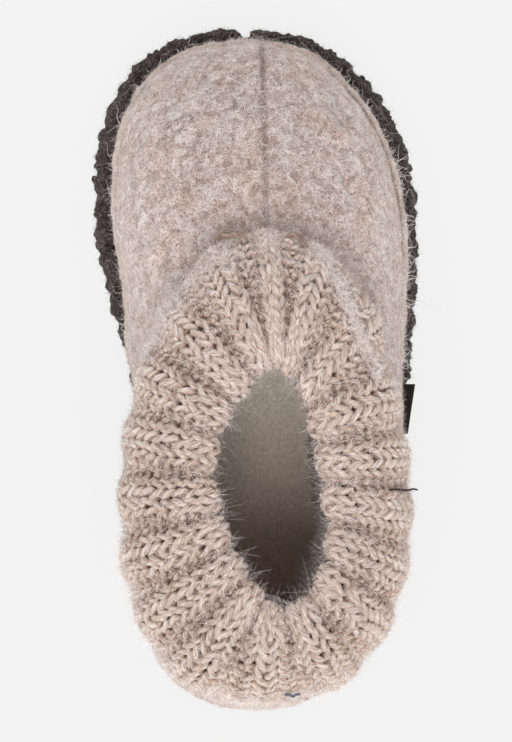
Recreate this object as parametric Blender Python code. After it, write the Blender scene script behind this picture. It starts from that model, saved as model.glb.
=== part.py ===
"""A toddler's house slipper for the right foot: boiled-wool upper, rib-knit cuff and a felted wool sole.

Frame: +Y toe, +X outer side of the foot, +Z up. The origin is on the floor under the middle of the sole.
"""

import math
from collections import namedtuple

import bmesh
import bpy
import numpy as np

MM = 0.001

# The whole slipper
LENGTH = 158.3 * MM  # heel to toe along the sole
BALL_WIDTH = 76.3 * MM  # across the sole at the ball of the foot
GAP = 0.3 * MM  # left between neighbouring pieces

# Sole and footbed
SOLE_THICK = 6.5 * MM
TOE_SPRING = 3.5 * MM  # how far the tip of the toe stands off the floor
SPRING_FROM = 0.71 * LENGTH  # measured from the heel: the sole lies flat behind this
KNOB_PITCH = 6.0 * MM  # one bump of the felted edge
KNOB_HEIGHT = 0.5 * MM
KNOB_COLUMNS = 3
ROLL_INSET = 2.4 * MM  # least inset that the edge's roll is worked out from
ROLL_BARE_FROM = 1.0 * MM  # inset of the felt where the roll starts to show, and where it shows in full
ROLL_BARE_TO = 3.0 * MM
TOE_NOTCH_DEPTH = 2.0 * MM  # where the two ends of the sole's edge meet
TOE_NOTCH_WIDTH = 2.8 * MM
INSOLE_THICK = 3.0 * MM
INSOLE_EDGE_IN = 0.8 * MM  # rounding of the insole's upper edge
INSOLE_EDGE_DOWN = 0.6 * MM
INSOLE_COLUMNS = 64

# Upper
WALL = 3.0 * MM
UPPER_COLUMNS = 72
WALL_ROWS = 11
SEAM_GROOVE_DEPTH = 0.9 * MM
SEAM_GROOVE_WIDTH = 1.8 * MM
SEAM_FROM_NOTCH = 2.7 * MM  # the felt's seam lies to the outer side of the notch in the sole's edge
COLLAR_MIDDLE = np.array((2.4, -27.0)) * MM
COLLAR_HALF_WIDTH = 29.0 * MM
COLLAR_FRONT = 55.0 * MM
COLLAR_BACK = 44.0 * MM
COLLAR_FRONT_ROUNDNESS = 2.1  # 2 is an ellipse; more is squarer
COLLAR_BACK_ROUNDNESS = 2.5

# Rib cuff
RIBS = 18
RIB_COLUMNS = 6
RIB_HEIGHT = 0.8 * MM  # from the middle of the wall's face up to a rib and down to a trough
RIB_FADE = (0.12, 0.30)  # shares of the way up to the rim where the ribs have half and all of their height
RIB_SQUARENESS = 0.6  # 1 is a plain wave; less has flatter ribs and steeper sides
CUFF_OUTER_ROWS = 12
CUFF_INNER_ROWS = 7

# Folded tab on the outer side
TAB_TOE_END = -4.2 * MM  # from the origin
TAB_HEEL_END = -15.8 * MM
TAB_TOE_REACH = 4.2 * MM  # how far the tab stands out from the wall at its two ends
TAB_HEEL_REACH = 3.3 * MM
TAB_THICK = 1.1 * MM
TAB_ROUNDING = 0.3 * MM

# Sole outline from the toe notch round the inner side: shares of LENGTH from the heel and of BALL_WIDTH
# from the middle, and how far the felt's edge stays inside the sole's edge, in mm
Outline = namedtuple("Outline", "name along across felt_inset")
OUTLINE = [
    Outline("toe notch", 0.998, -0.013, 2.7),
    Outline("inner toe front", 0.987, -0.223, 3.2),
    Outline("inner toe", 0.942, -0.380, 4.2),
    Outline("inner joint", 0.853, -0.471, 3.9),
    Outline("inner ball", 0.733, -0.499, 4.2),
    Outline("inner waist front", 0.591, -0.446, 3.0),
    Outline("inner waist bend", 0.531, -0.406, 0.4),
    Outline("inner waist", 0.442, -0.369, 0.4),
    Outline("inner heel", 0.208, -0.342, 0.9),
    Outline("inner heel back", 0.047, -0.270, 0.9),
    Outline("heel back", 0.001, -0.036, 0.9),
    Outline("outer heel back", 0.055, 0.266, 0.9),
    Outline("outer heel", 0.202, 0.400, 1.0),
    Outline("outer waist", 0.430, 0.456, 1.3),
    Outline("outer waist front", 0.587, 0.490, 2.2),
    Outline("outer ball", 0.701, 0.497, 2.4),
    Outline("outer joint", 0.838, 0.448, 3.6),
    Outline("outer toe", 0.922, 0.341, 3.6),
    Outline("outer toe front", 0.981, 0.176, 2.8),
]

# Sole edge from the floor up: inset as a share of the felt's inset, height in mm, share of the knobs. The
# roll stands higher than the sole only where the felt leaves it bare.
SoleEdge = namedtuple("SoleEdge", "name inset height knobs")
SOLE_EDGE = [
    SoleEdge("tread edge", 0.60, 0.0, 0.0),
    SoleEdge("lower roll", 0.18, 1.1, 0.7),
    SoleEdge("side", 0.00, 3.3, 1.0),
    SoleEdge("upper roll", 0.16, 5.7, 0.8),
    SoleEdge("roll top", 0.48, 6.9, 0.4),
    SoleEdge("seat", 0.88, 6.5, 0.0),
]

# Turned-out edge of the upper: mm inward from the felt's edge, mm above the sole
LipEdge = namedtuple("LipEdge", "name inset height")
LIP_EDGE = [
    LipEdge("foot", 0.2, 0.0),
    LipEdge("side", 0.0, 1.1),
    LipEdge("top", 0.8, 2.1),
    LipEdge("stitch groove", 1.9, 1.4),
    LipEdge("wall", 2.1, 2.6),
]

# How each part of the upper's wall swells between the sole and the collar, in mm; run is a share of the
# way from the collar back to the sole's edge
Wall = namedtuple("Wall", "name rise belly run shoulder drop collar_height")
TOE = Wall("toe", 27.0, 2.6, 0.62, 0.0, 9.5, 52.0)
SIDE = Wall("side", 14.0, 3.2, 0.30, 3.0, 12.0, 46.0)
HEEL = Wall("heel", 14.0, 6.2, 0.50, 5.4, 8.0, 44.0)

# Middle of the cuff's wall from the collar up to the rim: share of the way inward from collar to rim (less
# than 0 stands outside the collar) and height in mm, at the front, the sides and the back
CuffFold = namedtuple("CuffFold", "name front_in front_up side_in side_up back_in back_up half_thick")
CUFF_FOLDS = [
    CuffFold("seam", 0.00, TOE.collar_height, 0.00, SIDE.collar_height, 0.00, HEEL.collar_height, 1.5),
    CuffFold("belly", -0.01, 57.0, -0.16, 54.5, -0.16, 53.0, 2.3),
    CuffFold("corner", 0.16, 64.2, -0.10, 64.0, 0.01, 62.5, 2.5),
    CuffFold("shoulder", 0.43, 70.6, 0.26, 71.8, 0.36, 70.8, 2.5),
    CuffFold("top", 0.74, 75.0, 0.66, 76.0, 0.70, 76.0, 2.5),
    CuffFold("rim", 1.00, 77.0, 1.00, 77.8, 1.00, 78.3, 2.5),
]

# Middle of the cuff's wall at the rim, from the front round the inner side: mm outward and mm to the toe
Rim = namedtuple("Rim", "name across along")
RIM = [
    Rim("front", 4.5, 2.8),
    Rim("inner front", -5.4, -5.4),
    Rim("inner side front", -10.4, -15.3),
    Rim("inner side", -11.4, -24.2),
    Rim("inner side back", -8.8, -35.8),
    Rim("inner back", -3.8, -46.7),
    Rim("back", 6.0, -55.1),
    Rim("outer back", 14.6, -48.5),
    Rim("outer side back", 17.9, -39.1),
    Rim("outer side", 16.9, -28.2),
    Rim("outer side front", 14.9, -16.5),
    Rim("outer front", 12.0, -5.5),
]

# How far each rib is pulled along the collar and along the rim from an even spacing, in ribs. The ribs are
# counted from the front round the inner side; at the rim they crowd to the front and pinch the first one.
RibPull = namedtuple("RibPull", "rib collar rim")
RIB_PULLS = [
    RibPull(0, 0.0, 0.0),
    RibPull(1, -0.1, -0.6),
    RibPull(2, 0.0, -0.55),
    RibPull(3, 0.05, -0.6),
    RibPull(4, 0.0, -0.45),
    RibPull(5, -0.1, -0.2),
    RibPull(6, -0.15, -0.2),
    RibPull(7, -0.25, -0.1),
    RibPull(8, -0.25, -0.15),
    RibPull(9, -0.05, -0.35),
    RibPull(10, 0.1, -0.5),
    RibPull(11, 0.1, -0.3),
    RibPull(12, 0.0, -0.1),
    RibPull(13, -0.1, 0.1),
    RibPull(14, -0.3, 0.35),
    RibPull(15, -0.4, 0.55),
    RibPull(16, -0.1, 0.6),
    RibPull(17, 0.1, 0.6),
    RibPull(18, 0.0, 0.0),
]

# How the cuff's wall turns over at the rim: degrees from its outer face, and the share of the ribs left there
RimFold = namedtuple("RimFold", "turn ribs")
RIM_FOLDS = [RimFold(60.0, 0.5), RimFold(120.0, 0.1)]

# Colour, roughness and metallic of each cloth
Finish = namedtuple("Finish", "colour roughness metallic")
DARK_FELTED_WOOL = Finish((0.035, 0.028, 0.026, 1.0), 0.95, 0.0)
GREY_FELT = Finish((0.27, 0.25, 0.21, 1.0), 0.95, 0.0)
BOILED_WOOL = Finish((0.55, 0.47, 0.41, 1.0), 0.95, 0.0)
RIB_KNIT_WOOL = Finish((0.52, 0.42, 0.35, 1.0), 0.95, 0.0)
DARK_RIBBON = Finish((0.022, 0.016, 0.014, 1.0), 0.75, 0.0)

Columns = namedtuple("Columns", "plan outward felt_inset arc")


def unit(vectors):
    return vectors / np.linalg.norm(vectors, axis=-1, keepdims=True)


def closed_curve(points, per_span=24):
    """A smooth closed curve through the points, with per_span samples between each two."""
    points = np.asarray(points, float)
    ahead = np.roll(points, -1, axis=0)
    span = np.linalg.norm((ahead - points)[:, :2], axis=1, keepdims=True)
    before = np.roll(span, 1, axis=0)
    slope_out = (ahead - points) / span
    slope = (slope_out * before + np.roll(slope_out, 1, axis=0) * span) / (span + before)
    u = np.linspace(0.0, 1.0, per_span, endpoint=False).reshape(1, -1, 1)
    start, end, width = points[:, None], ahead[:, None], span[:, None]
    leave, arrive = slope[:, None], np.roll(slope, -1, axis=0)[:, None]
    curve = (
        (2 * u**3 - 3 * u**2 + 1) * start
        + (u**3 - 2 * u**2 + u) * width * leave
        + (3 * u**2 - 2 * u**3) * end
        + (u**3 - u**2) * width * arrive
    )
    return curve.reshape(-1, points.shape[1])


def arc_lengths(curve):
    """Distance along a closed curve at each of its points and at its end."""
    steps = np.linalg.norm((np.roll(curve, -1, axis=0) - curve)[:, :2], axis=1)
    return np.concatenate(([0.0], np.cumsum(steps)))


FOOT = closed_curve(
    [(row.across * BALL_WIDTH, (row.along - 0.5) * LENGTH, row.felt_inset * MM) for row in OUTLINE]
)
FOOT_ARCS = arc_lengths(FOOT)
FOOT_ROUND = FOOT_ARCS[-1]


def foot_columns(arcs):
    """Points of the sole's outline at these distances from the toe notch, and which way is outward there."""
    turn = unit((np.roll(FOOT, -1, axis=0) - np.roll(FOOT, 1, axis=0))[:, :2])
    outward = np.stack((turn[:, 1], -turn[:, 0]), axis=1)
    closed = np.concatenate((np.hstack((FOOT, outward)), np.hstack((FOOT, outward))[:1]))
    read = np.stack([np.interp(arcs % FOOT_ROUND, FOOT_ARCS, column) for column in closed.T], axis=1)
    return Columns(read[:, :2], unit(read[:, 3:]), read[:, 2:3], arcs)


def toe_lift(y):
    """Toe spring: the sole curls off the floor ahead of the ball."""
    ahead = np.clip((y + LENGTH / 2 - SPRING_FROM) / (LENGTH - SPRING_FROM), 0.0, None)
    return TOE_SPRING * ahead**2


def around(angle, front, side, back):
    """A size that changes round the ankle: angle 0 is the front and half a turn the back."""
    ahead = np.cos(angle)
    return side + ahead**2 * (np.where(ahead > 0, front, back) - side)


def ring(plan, height):
    return np.hstack((plan, np.broadcast_to(height, (len(plan), 1))))


def finish_node(name, mesh_builder, finish, smooth=True):
    """Turn a built mesh into a named object with its own material in the slipper's collection."""
    bmesh.ops.recalc_face_normals(mesh_builder, faces=mesh_builder.faces)
    mesh = bpy.data.meshes.new(name)
    mesh_builder.to_mesh(mesh)
    mesh_builder.free()
    mesh.polygons.foreach_set("use_smooth", [smooth] * len(mesh.polygons))
    material = bpy.data.materials.new(name)
    material.use_nodes = True
    shader = material.node_tree.nodes["Principled BSDF"]
    shader.inputs["Base Color"].default_value = finish.colour
    shader.inputs["Roughness"].default_value = finish.roughness
    shader.inputs["Metallic"].default_value = finish.metallic
    mesh.materials.append(material)
    node = bpy.data.objects.new(name, mesh)
    SLIPPER.objects.link(node)
    return node


def bridge_rings(builder, rings, closed):
    """Faces between neighbouring rings; closed joins the last ring to the first as well."""
    corners = [[builder.verts.new(point) for point in points] for points in rings]
    count = len(corners[0])
    pairs = list(zip(corners, corners[1:]))
    if closed:
        pairs.append((corners[-1], corners[0]))
    for low, high in pairs:
        for i in range(count):
            j = (i + 1) % count
            builder.faces.new((low[i], low[j], high[j], high[i]))
    return corners


def fill_across(builder, corners):
    """Close a ring with strips from its inner side to its outer side, starting at the toe."""
    count = len(corners)
    for i in range(count // 2):
        strip = [corners[i], corners[i + 1], corners[count - i - 1], corners[(count - i) % count]]
        builder.faces.new(list(dict.fromkeys(strip)))


def make_outsole():
    knobs = round(FOOT_ROUND / KNOB_PITCH)
    foot = foot_columns(np.arange(knobs * KNOB_COLUMNS) * FOOT_ROUND / (knobs * KNOB_COLUMNS))
    turn = 2 * math.pi * foot.arc / FOOT_ROUND
    wave = np.cos(knobs * turn) + 0.5 * np.cos(round(0.61 * knobs) * turn + 1.0)
    from_toe = np.minimum(foot.arc, FOOT_ROUND - foot.arc)
    notch = TOE_NOTCH_DEPTH * np.exp(-((2 * from_toe / TOE_NOTCH_WIDTH) ** 2))
    bare = np.clip((foot.felt_inset - ROLL_BARE_FROM) / (ROLL_BARE_TO - ROLL_BARE_FROM), 0.0, 1.0)
    rings = []
    for row in SOLE_EDGE:
        inset = row.inset * np.maximum(foot.felt_inset, ROLL_INSET)
        plan = foot.plan - (inset - (row.knobs * (KNOB_HEIGHT * wave - notch))[:, None]) * foot.outward
        above_seat = max(row.height * MM - SOLE_THICK, 0.0)
        rings.append(ring(plan, row.height * MM - (1 - bare) * above_seat + toe_lift(plan[:, 1:])))
    builder = bmesh.new()
    corners = bridge_rings(builder, rings, closed=False)
    fill_across(builder, corners[0])
    fill_across(builder, corners[-1])
    return finish_node("outsole", builder, DARK_FELTED_WOOL)


def make_insole():
    foot = foot_columns(np.arange(INSOLE_COLUMNS) * FOOT_ROUND / INSOLE_COLUMNS)
    inset = foot.felt_inset + LIP_EDGE[-1].inset * MM + WALL + GAP
    rings = []
    edge = ((0.0, 0.0), (0.0, INSOLE_THICK - INSOLE_EDGE_DOWN), (INSOLE_EDGE_IN, INSOLE_THICK))
    for inward, height in edge:
        plan = foot.plan - (inset + inward) * foot.outward
        rings.append(ring(plan, SOLE_THICK + GAP + height + toe_lift(plan[:, 1:])))
    builder = bmesh.new()
    corners = bridge_rings(builder, rings, closed=False)
    fill_across(builder, corners[0])
    fill_across(builder, corners[-1])
    return finish_node("insole", builder, GREY_FELT)


def egg(angle, roundness):
    """Shares of an oval's half-width and half-length: roundness 2 is an ellipse, more is squarer."""
    across, along = np.sin(angle), np.cos(angle)
    power = 2 / roundness
    return np.sign(across) * np.abs(across) ** power, np.sign(along) * np.abs(along) ** power


def collar_point(angle):
    """Where the upper ends at this angle round the ankle."""
    front = np.cos(angle) > 0
    across, along = egg(angle, np.where(front, COLLAR_FRONT_ROUNDNESS, COLLAR_BACK_ROUNDNESS))
    plan = COLLAR_MIDDLE + np.stack(
        (COLLAR_HALF_WIDTH * across, np.where(front, COLLAR_FRONT, COLLAR_BACK) * along), axis=1
    )
    height = around(angle, TOE.collar_height, SIDE.collar_height, HEEL.collar_height) * MM
    return ring(plan, height[:, None])


def facing(rows):
    """Outward directions of a wall given as rows of points from the bottom up."""
    along = np.roll(rows, -1, axis=1) - np.roll(rows, 1, axis=1)
    return unit(np.cross(along, np.gradient(rows, axis=0)))


def upper_wall():
    """Rows of the upper's outer face from the lip to the collar, its outward directions and its columns."""
    even = np.arange(UPPER_COLUMNS) * FOOT_ROUND / UPPER_COLUMNS
    arcs = np.sort(np.concatenate((even, (SEAM_GROOVE_WIDTH, FOOT_ROUND - SEAM_GROOVE_WIDTH))))
    foot = foot_columns(arcs - SEAM_FROM_NOTCH)
    plan = foot.plan - (foot.felt_inset + LIP_EDGE[-1].inset * MM) * foot.outward
    base = ring(plan, SOLE_THICK + GAP + LIP_EDGE[-1].height * MM + toe_lift(plan[:, 1:]))
    from_middle = plan - COLLAR_MIDDLE
    reach = np.where(from_middle[:, 1] > 0, COLLAR_FRONT, COLLAR_BACK)
    angle = np.arctan2(from_middle[:, 0] / COLLAR_HALF_WIDTH, from_middle[:, 1] / reach)
    angle = angle - angle[0] * np.cos(angle / 2) ** 2
    collar = collar_point(angle)
    rise, belly, run, shoulder, drop = (
        around(angle, *(getattr(part, key) for part in (TOE, SIDE, HEEL)))[:, None]
        for key in ("rise", "belly", "run", "shoulder", "drop")
    )
    outward = ring(foot.outward, 0.0)
    up = np.array((0.0, 0.0, 1.0))
    low = base + belly * MM * outward + rise * MM * up
    high = collar + run * (base - collar) + shoulder * MM * outward
    high[:, 2:] = collar[:, 2:] - drop * MM
    t = np.linspace(0.0, 1.0, WALL_ROWS).reshape(-1, 1, 1)
    rows = (1 - t) ** 3 * base + 3 * t * (1 - t) ** 2 * low + 3 * t**2 * (1 - t) * high + t**3 * collar
    return rows, facing(rows), foot, angle


def make_upper():
    rows, outward, foot, _ = upper_wall()
    inner = rows - WALL * outward
    fade = np.linspace(1.0, 0.0, WALL_ROWS) ** 0.5
    rows[:, 0] -= (SEAM_GROOVE_DEPTH * fade)[:, None] * outward[:, 0]
    rings = []
    for row in LIP_EDGE[:-1]:
        plan = foot.plan - (foot.felt_inset + row.inset * MM) * foot.outward
        rings.append(ring(plan, SOLE_THICK + GAP + row.height * MM + toe_lift(plan[:, 1:])))
    rings += list(rows) + list(inner[::-1])
    under = foot.plan - (foot.felt_inset + LIP_EDGE[-1].inset * MM + WALL) * foot.outward
    rings.append(ring(under, SOLE_THICK + GAP + toe_lift(under[:, 1:])))
    builder = bmesh.new()
    bridge_rings(builder, rings, closed=True)
    return finish_node("upper", builder, BOILED_WOOL)


def ribs_round(pull):
    """Shares of the way round the cuff for its columns, from the front round the inner side to the front."""
    even = np.arange(RIBS * RIB_COLUMNS) / RIB_COLUMNS
    pulls = [getattr(row, pull) for row in RIB_PULLS]
    return (even + np.interp(even, [row.rib for row in RIB_PULLS], pulls)) / RIBS


def places_along(curve, back, shares):
    """Indices into a curve from the front to the front; its back point is at half the way round."""
    arcs = np.concatenate(([0.0], np.cumsum(np.linalg.norm(np.diff(curve[:, :2], axis=0), axis=1))))
    wanted = np.interp(shares, (0.0, 0.5, 1.0), (0.0, arcs[back], arcs[-1]))
    return np.interp(wanted, arcs, np.arange(len(curve)))


def collar_angles():
    fine = -np.linspace(0.0, 2 * math.pi, 2001)
    return fine[1] * places_along(collar_point(fine), len(fine) // 2, ribs_round("collar"))


def rim_points(per_span=24):
    curve = closed_curve([(row.across * MM, row.along * MM) for row in RIM], per_span)
    curve = np.concatenate((curve, curve[:1]))
    back = [row.name for row in RIM].index("back") * per_span
    places = places_along(curve, back, ribs_round("rim"))
    return np.stack([np.interp(places, np.arange(len(curve)), column) for column in curve.T], axis=1)


def smooth_rows(rows, count):
    """A smooth run of count rows through the given rows, evenly spaced from the first to the last."""
    rows = np.asarray(rows)
    slope = np.gradient(rows, axis=0)
    place = np.linspace(0.0, len(rows) - 1.0, count)
    low = np.minimum(place.astype(int), len(rows) - 2)
    u = (place - low).reshape((-1,) + (1,) * (rows.ndim - 1))
    return (
        (2 * u**3 - 3 * u**2 + 1) * rows[low]
        + (u**3 - 2 * u**2 + u) * slope[low]
        + (3 * u**2 - 2 * u**3) * rows[low + 1]
        + (u**3 - u**2) * slope[low + 1]
    )


def make_rib_cuff():
    wall_rows, wall_outward, _, wall_angle = upper_wall()
    order = np.argsort(wall_angle % (2 * math.pi))
    known = wall_angle[order] % (2 * math.pi)
    angle = collar_angles()

    def along_collar(values):
        columns = (np.interp(angle, known, column[order], period=2 * math.pi) for column in values.T)
        return np.stack(list(columns), axis=1)

    end_outward = unit(along_collar(wall_outward[-1]))
    rising = unit(along_collar(wall_rows[-1] - wall_rows[-2]))
    seam = collar_point(angle) - WALL / 2 * end_outward + GAP * rising
    rim = rim_points()
    middle = [seam]
    for fold in CUFF_FOLDS[1:]:
        share = around(angle, fold.front_in, fold.side_in, fold.back_in)[:, None]
        height = around(angle, fold.front_up, fold.side_up, fold.back_up) * MM
        middle.append(ring(seam[:, :2] + share * (rim - seam[:, :2]), height[:, None]))
    half = np.array([fold.half_thick for fold in CUFF_FOLDS]) * MM
    outer_middle = smooth_rows(middle, CUFF_OUTER_ROWS)
    outer_half = smooth_rows(half, CUFF_OUTER_ROWS)[:, None, None]
    outer_facing = facing(outer_middle)
    outer_facing[0] = end_outward
    relief = np.interp(np.linspace(0.0, 1.0, CUFF_OUTER_ROWS), (0.0, *RIB_FADE), (0.0, 0.5, 1.0))
    wave = np.cos(2 * math.pi * np.arange(len(angle)) / RIB_COLUMNS)
    ribs = RIB_HEIGHT * relief[:, None] * np.sign(wave) * np.abs(wave) ** RIB_SQUARENESS
    outer = outer_middle + (outer_half + ribs[:, :, None]) * outer_facing
    inner_middle = smooth_rows(middle, CUFF_INNER_ROWS)
    inner_facing = facing(inner_middle)
    inner_facing[0] = end_outward
    inner = inner_middle - smooth_rows(half, CUFF_INNER_ROWS)[:, None, None] * inner_facing
    over = unit(outer_middle[-1] - outer_middle[-2])
    fold_over = []
    for fold in RIM_FOLDS:
        reach = half[-1] + fold.ribs * ribs[-1][:, None]
        turn = math.radians(fold.turn)
        across = math.cos(turn) * outer_facing[-1] + math.sin(turn) * over
        fold_over.append(outer_middle[-1] + reach * across)
    builder = bmesh.new()
    bridge_rings(builder, list(outer) + fold_over + list(inner[::-1]), closed=True)
    return finish_node("rib_cuff", builder, RIB_KNIT_WOOL)


def make_side_tab():
    """A thin folded ribbon, rounded on its edges, standing out from the wall just above the lip."""
    rows, _, _, _ = upper_wall()
    wall = rows[1][rows[1][:, 0] > 0]
    wall = wall[np.argsort(wall[:, 1])]
    length = TAB_TOE_END - TAB_HEEL_END
    builder = bmesh.new()
    bmesh.ops.create_cube(builder, size=1.0)
    for corner in builder.verts:
        out, along, up = np.array(corner.co) + 0.5
        y = TAB_HEEL_END + along * length
        root = np.interp(y, wall[:, 1], wall[:, 0]) + GAP
        reach = TAB_HEEL_REACH + along * (TAB_TOE_REACH - TAB_HEEL_REACH)
        corner.co = (root + out * reach, y, SOLE_THICK + 2 * GAP + LIP_EDGE[2].height * MM + up * TAB_THICK)
    edges = builder.edges[:]
    bmesh.ops.bevel(builder, geom=edges, offset=TAB_ROUNDING, segments=2, profile=0.5, affect="EDGES")
    return finish_node("side_tab", builder, DARK_RIBBON, smooth=False)


for old in list(bpy.data.objects):
    bpy.data.objects.remove(old, do_unlink=True)
SLIPPER = bpy.data.collections.new("wool_slipper")
bpy.context.scene.collection.children.link(SLIPPER)
make_outsole()
make_insole()
make_upper()
make_rib_cuff()
make_side_tab()
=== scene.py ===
# %% [markdown]
# # A toddler's wool house slipper
# The slipper is boiled wool above, a chunky rib-knit cuff, a grey felt footbed and a thick dark felted sole
# with a knobbly edge. Wool is what the eye reads here: loops of yarn, pebbled felt and a halo of loose
# fibres. The plain solids of the slipper are loaded first. They fix where everything sits and are then
# hidden, one by one, behind a finer piece of cloth of the same shape.

# %% Load the solids
import itertools
import math
from collections import namedtuple

import bpy
import numpy as np
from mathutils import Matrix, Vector


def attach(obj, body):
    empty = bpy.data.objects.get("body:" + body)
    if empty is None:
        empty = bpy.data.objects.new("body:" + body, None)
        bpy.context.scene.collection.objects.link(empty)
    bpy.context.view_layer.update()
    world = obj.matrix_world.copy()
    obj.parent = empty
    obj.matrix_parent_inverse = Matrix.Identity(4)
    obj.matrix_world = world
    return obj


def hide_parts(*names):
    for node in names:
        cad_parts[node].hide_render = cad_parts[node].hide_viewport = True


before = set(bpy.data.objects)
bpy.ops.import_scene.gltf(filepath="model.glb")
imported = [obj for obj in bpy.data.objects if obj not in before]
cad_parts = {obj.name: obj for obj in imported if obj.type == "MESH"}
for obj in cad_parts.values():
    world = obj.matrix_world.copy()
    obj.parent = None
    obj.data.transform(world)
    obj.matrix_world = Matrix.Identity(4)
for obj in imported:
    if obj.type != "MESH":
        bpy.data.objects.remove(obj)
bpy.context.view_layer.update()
MM = 0.001
print("solids:", sorted(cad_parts))

# %% [markdown]
# ## Small helpers
# A cloth's colours are written as sRGB hex, as a paint program shows them, and turned to linear light here.
# One function adds a shader node with its settings and links. Felt and fleece are never even, so one more
# function gives smooth random heights over any set of points, the same ones on every run.


# %% Colour, nodes and lattice noise
def linear(hex_colour):
    """sRGB hex to the linear colour that a shader takes."""
    shown = [int(hex_colour[i : i + 2], 16) / 255 for i in (1, 3, 5)]
    return tuple(c / 12.92 if c <= 0.04045 else ((c + 0.055) / 1.055) ** 2.4 for c in shown) + (1.0,)


def add_node(cloth, kind, values=None, links=None, stops=(), **settings):
    """Adds one node to a material, with its settings, socket values, incoming links and colour stops."""
    made = cloth.node_tree.nodes.new(kind)
    for at, _ in stops[2:]:
        made.color_ramp.elements.new(at)
    for stop, (at, hex_colour) in zip(made.color_ramp.elements if stops else (), stops):
        stop.position, stop.color = at, linear(hex_colour)
    for key, value in settings.items():
        setattr(made, key, value)
    for key, value in (values or {}).items():
        made.inputs[key].default_value = value
    for key, source in (links or {}).items():
        cloth.node_tree.links.new(source, made.inputs[key])
    return made


def new_cloth(name, **sockets):
    """A material with its constant values set on the Principled shader; returns it and the shader."""
    cloth = bpy.data.materials.new(name)
    cloth.use_nodes = True
    shader = cloth.node_tree.nodes["Principled BSDF"]
    for key, value in sockets.items():
        shader.inputs[key.replace("_", " ")].default_value = value
    return cloth, shader


LATTICE = np.random.default_rng(7).uniform(-1.0, 1.0, (32, 32, 32))


def lumps(points, size, shift=0.0):
    """Smooth random heights from -1 to 1 with bumps about this size, at each point."""
    place = points / size + shift
    cell = np.floor(place).astype(int)
    part = place - cell
    part = part * part * (3 - 2 * part)
    total = np.zeros(points.shape[:-1])
    for corner in itertools.product((0, 1), repeat=3):
        share = np.prod(np.where(corner, part, 1 - part), axis=-1)
        at = (cell + corner) % 32
        total += share * LATTICE[at[..., 0], at[..., 1], at[..., 2]]
    return total


print("noise lattice:", LATTICE.shape)

# %% [markdown]
# Meshes are made from arrays of points: a grid of points gives a sheet of cloth, a path gives a tube of
# yarn, and a short path gives a flat ribbon for a loose fibre. The slipper has too many stitches and hairs
# to model by hand or to keep as single objects, so each kind is one joined mesh. Every mesh is tied to the
# slipper and, where it takes a solid's place, hides that solid.


# %% Meshes from arrays
def unit(vectors):
    """Directions of length 1."""
    return vectors / np.maximum(np.linalg.norm(vectors, axis=-1, keepdims=True), 1e-12)


def grid_faces(rows, columns, wrap_rows, wrap_columns):
    """Quads between the points of a grid, which may close on itself either way."""
    r = np.arange(rows if wrap_rows else rows - 1)[:, None]
    c = np.arange(columns if wrap_columns else columns - 1)[None, :]
    r2, c2 = (r + 1) % rows, (c + 1) % columns
    quads = (r * columns + c, r * columns + c2, r2 * columns + c2, r2 * columns + c)
    return np.stack([np.broadcast_to(q, (r.size, c.size)) for q in quads], axis=-1).reshape(-1, 4)


def make_piece(name, points, faces, cloth, node=None, marks=None):
    """A smooth mesh that rides with the slipper; its cloth can read the marks, one per point."""
    mesh = bpy.data.meshes.new(name)
    mesh.from_pydata(points.reshape(-1, 3), [], faces if isinstance(faces, list) else faces.tolist())
    mesh.polygons.foreach_set("use_smooth", np.ones(len(mesh.polygons), dtype=bool))
    for mark, values in (marks or {}).items():
        kind, key = ("FLOAT_VECTOR", "vector") if values.ndim == points.ndim else ("FLOAT", "value")
        layer = mesh.attributes.new(mark, kind, "POINT")
        layer.data.foreach_set(key, np.ascontiguousarray(values, dtype=np.float32).ravel())
    mesh.materials.append(cloth)
    piece = bpy.data.objects.new(name, mesh)
    bpy.context.scene.collection.objects.link(piece)
    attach(piece, "root")
    if node:
        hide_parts(node)
    print(name, len(mesh.polygons), "faces")
    return piece


FIBRE_STRETCH = 0.12  # noise is squeezed this much along a strand, so it draws fibres as long streaks


def strand_frame(paths, upright, closed):
    """Sideways and upward directions at each point of many paths; upright is any way across each path."""
    ahead = np.roll(paths, -1, axis=1) - np.roll(paths, 1, axis=1) if closed else np.gradient(paths, axis=1)
    side = unit(np.cross(ahead, upright))
    return side, unit(np.cross(side, ahead))


def tubes(paths, upright, radius, sides, closed, spin=0.0):
    """Points, faces and fibre places of round strands along paths; spin turns the fibres round them."""
    side, over = strand_frame(paths, upright, closed)
    turn = 2 * math.pi * np.arange(sides) / sides
    spokes = np.cos(turn)[:, None] * side[:, :, None] + np.sin(turn)[:, None] * over[:, :, None]
    radius = radius if np.ndim(radius) == 3 else np.broadcast_to(radius, paths.shape[:2])[:, :, None]
    points = paths[:, :, None] + radius[..., None] * spokes
    along = np.cumsum(np.linalg.norm(np.diff(paths, axis=1, prepend=paths[:, :1]), axis=2), axis=1)
    along = FIBRE_STRETCH * along + 0.1 * np.arange(len(paths))[:, None]
    turn = turn - np.broadcast_to(spin, paths.shape[:2])[:, :, None]
    fibres = np.broadcast_arrays(along[:, :, None], radius * np.cos(turn), radius * np.sin(turn))
    one = grid_faces(paths.shape[1], sides, closed, True)
    step = paths.shape[1] * sides
    faces = (one[None] + step * np.arange(len(paths))[:, None, None]).reshape(-1, 4)
    return points, faces, {"fibres": np.stack(fibres, axis=-1)}


def ribbons(paths, upright, width):
    """Points and faces of flat strands, tapered to a fine tip."""
    side = unit(np.cross(np.gradient(paths, axis=1), upright))
    taper = np.linspace(1.0, 0.25, paths.shape[1])[None, :, None]
    half = 0.5 * np.broadcast_to(width, (len(paths),))[:, None, None] * taper * side
    points = np.stack((paths - half, paths + half), axis=2)
    one = grid_faces(paths.shape[1], 2, False, False)
    step = paths.shape[1] * 2
    faces = (one[None] + step * np.arange(len(paths))[:, None, None]).reshape(-1, 4)
    return points, faces


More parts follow.
